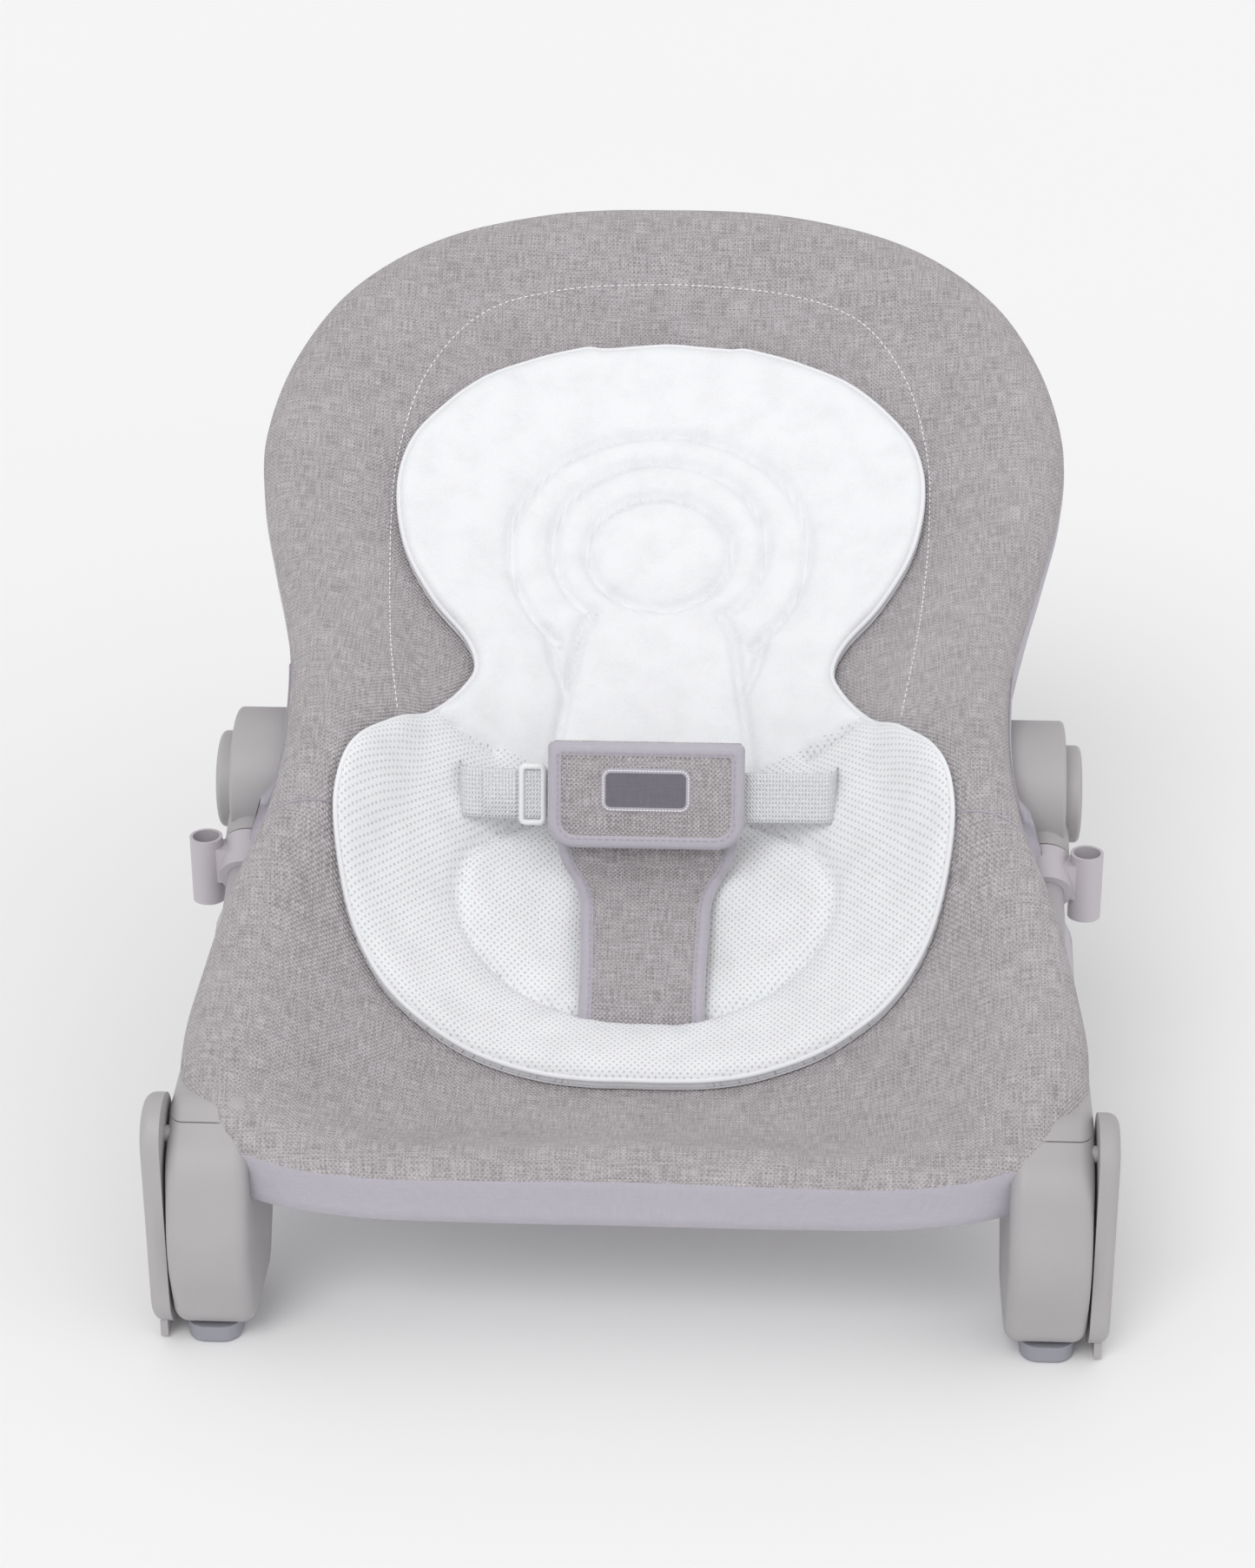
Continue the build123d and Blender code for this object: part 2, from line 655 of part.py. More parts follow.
def buckle_spring():
    """Spring under the press button, drawn as the tube its coils fill."""
    floor = buckle_half_thickness - buckle_button_travel - 4.5
    top = buckle_half_thickness - buckle_button_travel - 1.0
    tube = Cylinder(5.0, top - floor) - Cylinder(4.0, top - floor)
    return buckle_plane() * Pos(0, 0, (floor + top) / 2) * tube


def belt_tongue():
    """Tongue at the end of the waist belt, with the slot that the webbing loops."""
    inner = buckle_half_width + 0.4
    frame = Pos(inner + tongue_length / 2, 0, 0) * Box(tongue_length, belt_width + 7, 4.5)
    frame = fillet(frame.edges().filter_by(Axis.Z), 3.0)
    frame -= Pos(inner + tongue_length - 6, 0, 0) * Box(5.0, belt_width + 1, 6)
    prong = Pos(inner - 6.5, 0, 0) * Box(13.4, 16, 3.0)
    return buckle_plane() * (frame + prong)


def waist_belt():
    """Webbing from a tongue out to the head of the pivot bolt."""
    start = buckle_half_width + 0.4 + tongue_length + 0.4
    end = back_hub_inner_x - 0.3 - bolt_head_height - 0.4
    half = belt_thickness / 2
    upper = [(start, half), (belt_level_until, half), (end, half - buckle_offset)]
    lower = [(x, depth - belt_thickness) for x, depth in reversed(upper)]
    profile = make_face(Polyline(*upper, *lower, close=True))
    plane = buckle_plane()
    edge = plane.origin + plane.y_dir * (-belt_width / 2)
    across = Plane(origin=edge, x_dir=(1, 0, 0), z_dir=-plane.y_dir)
    return extrude(across * profile, -belt_width)


def flap_panel():
    """Cover flap that hangs in front of the buckle from the fold of the strap."""
    top = buckle_half_height + 8 + strap_thickness
    middle = Pos(0, top - flap_height / 2, flap_stand_off + flap_thickness / 2)
    panel = middle * Box(2 * flap_half_width, flap_height, flap_thickness)
    low_corners = panel.edges().filter_by(Axis.Z).group_by(Axis.Y)[0]
    return buckle_plane() * fillet(low_corners, 14.0)


def flap_patch():
    """Plain sewn patch in the middle of the flap."""
    top = buckle_half_height + 8 + strap_thickness
    outline = RectangleRounded(patch_width, patch_height, 5.0)
    patch = extrude(outline, patch_thickness)
    return buckle_plane() * Pos(0, top - 21, flap_stand_off + flap_thickness) * patch


def build():
    """All pieces by name: the pieces on one side are made once and mirrored."""
    corners, radii = seat_path()
    seat_tube = bent_tube(tilted_plane(seat_tilt), corners, radii,
                          seat_tube_diameter / 2, tube_wall)
    corners, radii = back_path()
    back_tube = bent_tube(tilted_plane(back_tilt), corners, radii,
                          back_tube_diameter / 2, tube_wall)
    leg_front, leg_rear, leg_cap = front_leg_pieces()
    pieces = {
        "seat_tube": seat_tube, "seat_padding": seat_padding(),
        "seat_cushion": seat_cushion(),
        "crotch_strap": crotch_strap(), "buckle_body": buckle_body(),
        "back_tube": back_tube, "back_padding": back_padding(),
        "back_cushion": cushion(back_bowl),
        "rear_leg_tube": rear_leg_tube(), "buckle_button": buckle_button(),
        "buckle_spring": buckle_spring(), "flap_panel": flap_panel(), "flap_patch": flap_patch(),
    }
    sided = {
        "seat_hub": seat_hub(), "back_hub": back_hub(), "lock_gear": lock_gear(),
        "recline_button": recline_button(), "button_spring": button_spring(),
        "pivot_bolt": pivot_bolt(), "pivot_nut": pivot_nut(), "rear_knuckle": rear_knuckle(),
        "leg_pin": leg_pin(), "rear_foot": rear_foot(), "front_leg_front": leg_front,
        "front_leg_rear": leg_rear, "front_leg_cap": leg_cap, "front_foot": front_foot(),
        "leg_screws": leg_screws(), "stabiliser": stabiliser(),
        "stabiliser_pin": stabiliser_pin(), "stabiliser_pad": stabiliser_pad(),
        "toy_bar_socket": toy_bar_socket(), "belt_tongue": belt_tongue(),
        "waist_belt": waist_belt(),
    }
    for name, piece in sided.items():
        pieces[name + "_right"] = piece
        pieces[name + "_left"] = mirror(piece, about=Plane.YZ)
    return pieces


if __name__ == "__main__":
    os.makedirs("parts", exist_ok=True)
    for name, piece in build().items():
        export_step(piece, "parts/" + name + ".step")
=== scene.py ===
import json
import math

import bmesh
import bpy
import numpy as np
from mathutils import Matrix, Vector, noise
from mathutils.bvhtree import BVHTree
from mathutils.kdtree import KDTree


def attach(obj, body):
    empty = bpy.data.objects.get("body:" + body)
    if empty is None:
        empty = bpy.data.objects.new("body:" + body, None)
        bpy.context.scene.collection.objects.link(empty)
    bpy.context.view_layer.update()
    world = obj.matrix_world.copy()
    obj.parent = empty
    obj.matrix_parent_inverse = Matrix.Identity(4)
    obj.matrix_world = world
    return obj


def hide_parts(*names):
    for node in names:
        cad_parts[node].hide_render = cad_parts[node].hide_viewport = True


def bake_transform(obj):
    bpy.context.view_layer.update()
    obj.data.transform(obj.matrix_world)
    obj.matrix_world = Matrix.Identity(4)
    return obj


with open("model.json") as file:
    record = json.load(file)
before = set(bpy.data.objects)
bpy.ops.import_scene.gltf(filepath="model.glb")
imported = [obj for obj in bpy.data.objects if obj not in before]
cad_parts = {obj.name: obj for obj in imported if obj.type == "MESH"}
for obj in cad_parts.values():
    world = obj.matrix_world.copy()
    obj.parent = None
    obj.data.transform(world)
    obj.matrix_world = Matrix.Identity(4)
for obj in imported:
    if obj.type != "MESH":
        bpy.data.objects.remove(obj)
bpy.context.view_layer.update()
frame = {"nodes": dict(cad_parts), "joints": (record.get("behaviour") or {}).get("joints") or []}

bl_info = {
    "name": "Bouncer seat",
    "version": (1, 0, 0),
    "blender": (4, 5, 0),
    "location": "3D View > Sidebar > Bouncer",
    "description": "Cloth, webbing and finishes for a reclining bouncer seat",
    "category": "Object",
}

MM = 0.001
JOINTS = {joint["name"]: joint for joint in frame["joints"]}
HINGE = np.array(JOINTS["recline"]["pos_m"])
FOLD = np.array(JOINTS["flap_lift"]["pos_m"])
SEAT_TILT = 24.5
BACK_TILT = 33.4
BUCKLE_TILT = 76.0
BELT_BELOW_FOLD = 28.5
SIDES = {"right": 1.0, "left": -1.0}


# Places and curves.

def ease(t):
    """Smooth step from 0 to 1."""
    t = np.clip(t, 0.0, 1.0)
    return t * t * (3.0 - 2.0 * t)


def bump(s, middle, width):
    """Smooth hill of height 1 round a middle."""
    return np.exp(-((np.asarray(s, float) - middle) / width) ** 2)


def smooth_through(points, at):
    """Height of a smooth curve through a few points, given where along it."""
    x, y = np.array(points, float).T
    slope = np.gradient(y, x)
    at = np.clip(np.asarray(at, float), x[0], x[-1])
    i = np.clip(np.searchsorted(x, at) - 1, 0, len(x) - 2)
    h = x[i + 1] - x[i]
    t = (at - x[i]) / h
    return ((2 * t**3 - 3 * t**2 + 1) * y[i] + (t**3 - 2 * t**2 + t) * h * slope[i]
            + (-2 * t**3 + 3 * t**2) * y[i + 1] + (t**3 - t**2) * h * slope[i + 1])


def tilt_at(s):
    """Tilt of the seat's surface at a distance s (mm) behind the recline axis."""
    return np.radians(SEAT_TILT + (BACK_TILT - SEAT_TILT) * ease((np.asarray(s, float) + 50) / 100))


def place(x, s, n):
    """World points from across, along and above the tube frames, in mm."""
    x, s, n = np.broadcast_arrays(np.asarray(x, float), np.asarray(s, float), np.asarray(n, float))
    a = tilt_at(s)
    y = s * np.cos(a) - n * np.sin(a)
    z = s * np.sin(a) + n * np.cos(a)
    return np.stack([x * MM, HINGE[1] + y * MM, HINGE[2] + z * MM], axis=-1)


BEND_START, BEND_END = tuple(place(0, -30, 0)), tuple(place(0, 42, 0))


def buckle_place(x, up, out):
    """World points from across, up and out of the buckle, in mm from its fold line."""
    x, up, out = np.broadcast_arrays(np.asarray(x, float), np.asarray(up, float),
                                     np.asarray(out, float))
    a = math.radians(BUCKLE_TILT)
    y = FOLD[1] + (up * math.cos(a) - (out - 10.0) * math.sin(a)) * MM
    z = FOLD[2] + (up * math.sin(a) + (out - 10.0) * math.cos(a)) * MM
    return np.stack([x * MM, y, z], axis=-1)


def even_steps(points, count, closed=False):
    """The same line, resampled to evenly spaced points."""
    points = np.asarray(points, float)
    if closed:
        points = np.vstack([points, points[:1]])
    run = np.concatenate([[0], np.cumsum(np.linalg.norm(np.diff(points, axis=0), axis=1))])
    at = np.linspace(0, run[-1], count + 1)[:-1] if closed else np.linspace(0, run[-1], count)
    return np.stack([np.interp(at, run, points[:, k]) for k in range(points.shape[1])], axis=1)


def rounded_line(points, closed=False, per_span=24):
    """A smooth line through a few points."""
    points = np.asarray(points, float)
    count = len(points)
    spans = count if closed else count - 1
    line = []
    for i in range(spans):
        if closed:
            a, b, c, d = (points[(i + k) % count] for k in (-1, 0, 1, 2))
        else:
            b, c = points[i], points[i + 1]
            a = points[i - 1] if i else 2 * b - c
            d = points[i + 2] if i + 2 < count else 2 * c - b
        for t in np.arange(per_span) / per_span:
            line.append(0.5 * (2 * b + (c - a) * t + (2 * a - 5 * b + 4 * c - d) * t * t
                               + (3 * b - 3 * c + d - a) * t ** 3))
    if not closed:
        line.append(points[-1])
    return np.array(line)


def symmetric_outline(half, count):
    """Even points round an outline, from its right half given from front to back."""
    left = [(-x, s) for x, s in reversed(half[1:-1])]
    return even_steps(rounded_line(list(half) + left, closed=True), count, closed=True)


# Mesh helpers.

def add_object(name, data):
    """A new object in the scene."""
    made = bpy.data.objects.new(name, data)
    bpy.context.scene.collection.objects.link(made)
    return made


def new_piece(name, verts, faces, materials=(), face_slots=None, uvs=None, smooth=True):
    """A mesh object from plain arrays, with outward normals."""
    mesh = bpy.data.meshes.new(name)
    mesh.from_pydata([tuple(v) for v in verts], [], [tuple(f) for f in faces])
    if uvs is not None:
        layer = mesh.uv_layers.new(name="UVMap")
        index = np.empty(len(mesh.loops), dtype=np.int32)
        mesh.loops.foreach_get("vertex_index", index)
        layer.data.foreach_set("uv", np.asarray(uvs, dtype=np.float32)[index].ravel())
    for material in materials:
        mesh.materials.append(material)
    if face_slots is not None:
        mesh.polygons.foreach_set("material_index", np.asarray(face_slots, dtype=np.int32))
    mesh.polygons.foreach_set("use_smooth", [smooth] * len(mesh.polygons))
    work = bmesh.new()
    work.from_mesh(mesh)
    bmesh.ops.remove_doubles(work, verts=work.verts, dist=1e-6)
    bmesh.ops.recalc_face_normals(work, faces=work.faces)
    work.to_mesh(mesh)
    work.free()
    mesh.update()
    return add_object(name, mesh)


def grid_faces(rows, columns, wrap_rows=False, wrap_columns=False):
    """Quads of a grid of vertices numbered row by row."""
    faces = []
    for i in range(rows if wrap_rows else rows - 1):
        for j in range(columns if wrap_columns else columns - 1):
            a, b = i * columns + j, i * columns + (j + 1) % columns
            c = ((i + 1) % rows) * columns + (j + 1) % columns
            faces.append((a, b, c, ((i + 1) % rows) * columns + j))
    return faces


def end_caps(columns, total):
    """The two end faces of a run of rings with so many vertices each."""
    return [tuple(range(columns)), tuple(range(total - columns, total))]


def tube_along(name, line, radius, material, closed=False, sides=8):
    """A round tube along world points."""
    line = np.asarray(line, float)
    ahead = np.roll(line, -1, axis=0) - np.roll(line, 1, axis=0)
    if not closed:
        ahead[0], ahead[-1] = line[1] - line[0], line[-1] - line[-2]
    ahead /= np.linalg.norm(ahead, axis=1)[:, None]
    side = np.cross(ahead, [0.0, 0.0, 1.0])
    side /= np.maximum(np.linalg.norm(side, axis=1), 1e-9)[:, None]
    up = np.cross(side, ahead)
    angle = np.arange(sides) / sides * math.tau
    ring = np.cos(angle)[None, :, None] * side[:, None] + np.sin(angle)[None, :, None] * up[:, None]
    verts = (line[:, None] + radius * ring).reshape(-1, 3)
    faces = grid_faces(len(line), sides, wrap_rows=closed, wrap_columns=True)
    if not closed:
        faces += end_caps(sides, len(verts))
    return new_piece(name, verts, faces, [material])


def drop_on(tree, x, s, lift):
    """Points on a surface found by looking down onto it from above the tube frames."""
    found = []
    for px, ps in zip(np.atleast_1d(x), np.atleast_1d(s)):
        above = Vector(place(px, ps, 140.0))
        down = Vector(place(px, ps, 0.0)) - above
        hit, _, _, _ = tree.ray_cast(above, down.normalized())
        if hit is None:
            hit, _, _, _ = tree.find_nearest(Vector(place(px, ps, 0.0)))
        found.append(hit - down.normalized() * lift * MM)
    return np.array([tuple(p) for p in found])


def surface_of(piece):
    """Search tree of a finished piece."""
    return BVHTree.FromObject(piece, bpy.context.evaluated_depsgraph_get())


# Stitches.

def stitch_tree():
    """Node group that lays short thread stitches along a line."""
    tree = bpy.data.node_groups.new("Stitches", "GeometryNodeTree")
    face = tree.interface
    face.new_socket("Line", in_out="INPUT", socket_type="NodeSocketGeometry")
    for label, default in (("Pitch", 0.0044), ("Length", 0.0032), ("Thickness", 0.0005)):
        face.new_socket(label, in_out="INPUT", socket_type="NodeSocketFloat").default_value = default
    face.new_socket("Thread", in_out="INPUT", socket_type="NodeSocketMaterial")
    face.new_socket("Stitches", in_out="OUTPUT", socket_type="NodeSocketGeometry")
    nodes = tree.nodes
    start, end = nodes.new("NodeGroupInput"), nodes.new("NodeGroupOutput")
    points = nodes.new("GeometryNodeCurveToPoints")
    points.mode = "LENGTH"
    sphere = nodes.new("GeometryNodeMeshIcoSphere")
    sphere.inputs["Subdivisions"].default_value = 1
    sphere.inputs["Radius"].default_value = 0.5
    size = nodes.new("ShaderNodeCombineXYZ")
    spread = nodes.new("GeometryNodeInstanceOnPoints")
    solid = nodes.new("GeometryNodeRealizeInstances")
    paint = nodes.new("GeometryNodeSetMaterial")
    for source, output, target, field in (
            (start, "Line", points, "Curve"), (start, "Pitch", points, "Length"),
            (points, "Points", spread, "Points"), (points, "Rotation", spread, "Rotation"),
            (sphere, "Mesh", spread, "Instance"), (start, "Thickness", size, "X"),
            (start, "Thickness", size, "Y"), (start, "Length", size, "Z"),
            (size, "Vector", spread, "Scale"), (spread, "Instances", solid, "Geometry"),
            (solid, "Geometry", paint, "Geometry"), (start, "Thread", paint, "Material"),
            (paint, "Geometry", end, "Stitches")):
        tree.links.new(source.outputs[output], target.inputs[field])
    return tree


def sew(name, lines, thread, pitch=4.4, length=3.2, thickness=0.8):
    """Stitches along world lines, as one plain mesh."""
    curve = bpy.data.curves.new(name + "_line", "CURVE")
    curve.dimensions = "3D"
    for line in lines:
        spline = curve.splines.new("POLY")
        spline.points.add(len(line) - 1)
        spline.points.foreach_set("co", np.c_[line, np.ones(len(line))].astype(np.float32).ravel())
    carrier = add_object(name + "_line", curve)
    tree = bpy.data.node_groups.get("Stitches") or stitch_tree()
    modifier = carrier.modifiers.new("Stitches", "NODES")
    modifier.node_group = tree
    wanted = {"Pitch": pitch * MM, "Length": length * MM, "Thickness": thickness * MM,
              "Thread": thread}
    for item in tree.interface.items_tree:
        if item.in_out == "INPUT" and item.name in wanted:
            modifier[item.identifier] = wanted[item.name]
    bpy.context.view_layer.update()
    seen = carrier.evaluated_get(bpy.context.evaluated_depsgraph_get())
    mesh = bpy.data.meshes.new_from_object(seen)
    carrier.modifiers.remove(modifier)
    bpy.data.objects.remove(carrier)
    mesh.name = name
    return add_object(name, mesh)


# Materials.

def shader(name, color, roughness):
    """A new material with its main shader, ready for a surface pattern."""
    material = bpy.data.materials.new(name)
    material.use_nodes = True
    main = material.node_tree.nodes["Principled BSDF"]
    main.inputs["Base Color"].default_value = (*color, 1.0)
    main.inputs["Roughness"].default_value = roughness
    return material, material.node_tree, main


def math_node(tree, operation, a, b=None):
    """One arithmetic step on two sockets or numbers."""
    node = tree.nodes.new("ShaderNodeMath")
    node.operation = operation
    for index, value in enumerate((a, b)):
        if value is None:
            continue
        if isinstance(value, (int, float)):
            node.inputs[index].default_value = value
        else:
            tree.links.new(value, node.inputs[index])
    return node.outputs[0]


def times(tree, a, b):
    """One socket or number multiplied by another."""
    return math_node(tree, "MULTIPLY", a, b)


def plus(tree, a, b):
    """One socket or number added to another."""
    return math_node(tree, "ADD", a, b)


def noise_node(tree, vector, scale, detail=3.0, roughness=0.55):
    """Soft random pattern; a higher scale makes it finer."""
    node = tree.nodes.new("ShaderNodeTexNoise")
    node.inputs["Scale"].default_value = scale
    node.inputs["Detail"].default_value = detail
    node.inputs["Roughness"].default_value = roughness
    tree.links.new(vector, node.inputs["Vector"])
    return node.outputs["Fac"]


def stretched(tree, vector, scale):
    """Coordinates stretched along each axis."""
    node = tree.nodes.new("ShaderNodeMapping")
    node.inputs["Scale"].default_value = scale
    tree.links.new(vector, node.inputs["Vector"])
    return node.outputs["Vector"]


def color_between(tree, factor, dark, light, low=0.35, high=0.65):
    """A colour ramp between two colours."""
    ramp = tree.nodes.new("ShaderNodeValToRGB")
    ramp.color_ramp.elements[0].position = low
    ramp.color_ramp.elements[0].color = (*dark, 1.0)
    ramp.color_ramp.elements[1].position = high
    ramp.color_ramp.elements[1].color = (*light, 1.0)
    tree.links.new(factor, ramp.inputs["Fac"])
    return ramp.outputs["Color"]


def bumped(tree, main, height, distance, strength=1.0):
    """Relief on the main shader."""
    node = tree.nodes.new("ShaderNodeBump")
    node.inputs["Distance"].default_value = distance
    node.inputs["Strength"].default_value = strength
    tree.links.new(height, node.inputs["Height"])
    tree.links.new(node.outputs["Normal"], main.inputs["Normal"])


def scaled(color, factor):
    """A colour made darker or lighter."""
    return tuple(min(1.0, channel * factor) for channel in color)


def uv_axes(tree):
    """The piece's own UV map, whole and as its two axes, in metres."""
    uv = tree.nodes.new("ShaderNodeTexCoord").outputs["UV"]
    split = tree.nodes.new("ShaderNodeSeparateXYZ")
    tree.links.new(uv, split.inputs["Vector"])
    return uv, split.outputs["X"], split.outputs["Y"]


def in_object(tree):
    """Coordinates of the piece itself, in metres."""
    return tree.nodes.new("ShaderNodeTexCoord").outputs["Object"]


def woven(name, color, thread, relief, contrast=0.16, roughness=0.85, sheen=0.25):
    """Plain weave with slubbed yarns."""
    material, tree, main = shader(name, color, roughness)
    main.inputs["Sheen Weight"].default_value = sheen
    main.inputs["Sheen Roughness"].default_value = 0.45
    uv, u, v = uv_axes(tree)
    wave = math.tau / thread
    across = math_node(tree, "SINE", times(tree, u, wave))
    along = math_node(tree, "SINE", times(tree, v, wave))
    weave = times(tree, across, along)
    slub_x = noise_node(tree, stretched(tree, uv, (90, 1400, 1)), 1.0, 2.0)
    slub_y = noise_node(tree, stretched(tree, uv, (1400, 90, 1)), 1.0, 2.0)
    slub = plus(tree, times(tree, slub_x, 0.5), times(tree, slub_y, 0.5))
    cloud = noise_node(tree, uv, 30.0, 4.0)
    tone = plus(tree, slub, times(tree, weave, 0.06))
    tone = plus(tree, tone, times(tree, cloud, 0.12))
    shade = color_between(tree, tone, scaled(color, 1 - contrast), scaled(color, 1 + contrast),
                          0.42, 0.70)
    tree.links.new(shade, main.inputs["Base Color"])
    height = plus(tree, weave, times(tree, slub, 2.0))
    bumped(tree, main, height, relief)
    return material


DOT_PITCH, RIB_PITCH, PICK_PITCH = 0.0034, 0.0022, 0.0016


def jersey(name, color, dotted):
    """Soft white knit, smooth or with rows of pin dots."""
    material, tree, main = shader(name, color, 0.9)
    main.inputs["Sheen Weight"].default_value = 0.2
    main.inputs["Subsurface Weight"].default_value = 0.04
    uv, u, v = uv_axes(tree)
    fuzz = noise_node(tree, uv, 900.0, 3.0)
    soft = noise_node(tree, uv, 60.0, 3.0)
    height = plus(tree, times(tree, fuzz, 0.5), soft)
    tone = plus(tree, times(tree, fuzz, 0.4), times(tree, soft, 0.6))
    if dotted:
        wave = math.tau / DOT_PITCH
        total, apart = plus(tree, u, v), math_node(tree, "SUBTRACT", u, v)
        rows = math_node(tree, "COSINE", times(tree, total, wave))
        columns = math_node(tree, "COSINE", times(tree, apart, wave))
        crests = math_node(tree, "MAXIMUM", 0.0, times(tree, plus(tree, rows, columns), 0.5))
        dots = math_node(tree, "POWER", crests, 3.0)
        height = math_node(tree, "SUBTRACT", height, times(tree, dots, 1.6))
        tone = math_node(tree, "SUBTRACT", tone, times(tree, dots, 0.22))
    shade = color_between(tree, tone, scaled(color, 0.90), color, 0.25, 0.55)
    tree.links.new(shade, main.inputs["Base Color"])
    bumped(tree, main, height, 0.00035)
    return material


def tape(name, color):
    """Ribbed harness webbing on its UV map."""
    material, tree, main = shader(name, color, 0.6)
    main.inputs["Sheen Weight"].default_value = 0.3
    uv, u, v = uv_axes(tree)
    ribs = math_node(tree, "SINE", times(tree, v, math.tau / RIB_PITCH))
    picks = math_node(tree, "SINE", times(tree, u, math.tau / PICK_PITCH))
    weave = times(tree, ribs, picks)
    height = plus(tree, weave, times(tree, ribs, 0.6))
    tone = plus(tree, times(tree, height, 0.15), noise_node(tree, uv, 700.0, 2.0))
    shade = color_between(tree, tone, scaled(color, 0.84), scaled(color, 1.05), 0.3, 0.7)
    tree.links.new(shade, main.inputs["Base Color"])
    bumped(tree, main, height, 0.0003)
    return material


def moulded(name, color, roughness, grain=0.00006):
    """Moulded plastic with fine grain, a little colour drift and rubbed spots."""
    material, tree, main = shader(name, color, roughness)
    where = in_object(tree)
    fine = noise_node(tree, where, 2600.0, 2.0)
    drift = noise_node(tree, where, 14.0, 3.0)
    shade = color_between(tree, drift, scaled(color, 0.95), scaled(color, 1.04), 0.3, 0.7)
    tree.links.new(shade, main.inputs["Base Color"])
    rub = noise_node(tree, where, 45.0, 4.0)
    rough = plus(tree, times(tree, rub, 0.16), roughness - 0.08)
    tree.links.new(rough, main.inputs["Roughness"])
    bumped(tree, main, fine, grain)
    return material


def metal(name, color, roughness, metallic=1.0):
    """Plated or powder coated steel."""
    material, tree, main = shader(name, color, roughness)
    main.inputs["Metallic"].default_value = metallic
    where = in_object(tree)
    spots = noise_node(tree, where, 900.0, 3.0)
    drift = noise_node(tree, where, 40.0, 3.0)
    shade = color_between(tree, drift, scaled(color, 0.93), scaled(color, 1.03), 0.3, 0.7)
    tree.links.new(shade, main.inputs["Base Color"])
    rough = plus(tree, times(tree, spots, 0.2), roughness - 0.1)
    tree.links.new(rough, main.inputs["Roughness"])
    bumped(tree, main, spots, 0.00004)
    return material


def finish(name):
    """The named finish, made the first time it is asked for."""
    made = bpy.data.materials.get(name)
    if made:
        return made
    look = bpy.context.scene.bouncer_finish
    makers = {
        "heather_weave": (woven, look.cover, 0.0023, 0.0005, 0.34),
        "band_sateen": (woven, look.band, 0.0006, 0.00006, 0.05, 0.6, 0.35),
        "jersey_plain": (jersey, look.cushion, False),
        "jersey_dotted": (jersey, look.cushion, True),
        "webbing_tape": (tape, look.webbing),
        "label_weave": (woven, look.patch, 0.0009, 0.00012, 0.10, 0.7, 0.2),
        "white_thread": (moulded, (0.86, 0.86, 0.87), 0.6),
        "band_thread": (moulded, (0.40, 0.37, 0.42), 0.6),
        "shell_grain": (moulded, look.shell, 0.5),
        "socket_plastic": (moulded, look.socket, 0.45),
        "buckle_gloss": (moulded, (0.78, 0.80, 0.81), 0.35, 0.00002),
        "foot_rubber": (moulded, look.rubber, 0.8, 0.0001),
        "gear_black": (moulded, (0.07, 0.07, 0.075), 0.5),
        "coated_tube": (metal, (0.42, 0.40, 0.42), 0.5, 0.2),
        "plated_steel": (metal, (0.6, 0.6, 0.61), 0.35),
    }
    maker, *values = makers[name]
    return maker(name, *values)


# Cover.

# Right half of the cover's outline, from the front edge to the top (across, along) in mm.
COVER_HALF = [(0, -249), (70, -249), (130, -247), (176, -237), (204, -210), (210.5, -168),
              (206, -124), (196, -84), (183, -52), (177, -22), (176, 10), (179, 48), (187, 86),
              (197, 125), (206, 165), (209, 208), (198, 257), (172, 302), (127, 336), (65, 355),
              (0, 359)]
CORE_FRONT, CORE_BACK, CORE_SPAN = -128.0, 232.0, 600.0
FLARE, WIDEST = 15.0, 207.5
ROLL = 19.0
SLING_DROP = [(-128, -50), (-100, -55), (-64, -56), (-20, -45), (8, -35), (45, -28), (87, -22),
              (147, -14), (200, -9), (232, -6)]
RIM_RISE = [(-250, 0), (-160, 0), (-112, 8), (-66, 24), (-24, 40), (12, 43), (50, 33), (95, 17),
            (150, 5), (210, 0), (352, 0)]


def core_point(s):
    """Where on the centre line the cover's rays meet, for a place on its outline."""
    t = (np.asarray(s, float) - COVER_HALF[0][1]) / CORE_SPAN
    return CORE_FRONT + (CORE_BACK - CORE_FRONT) * np.clip(t, 0, 1)


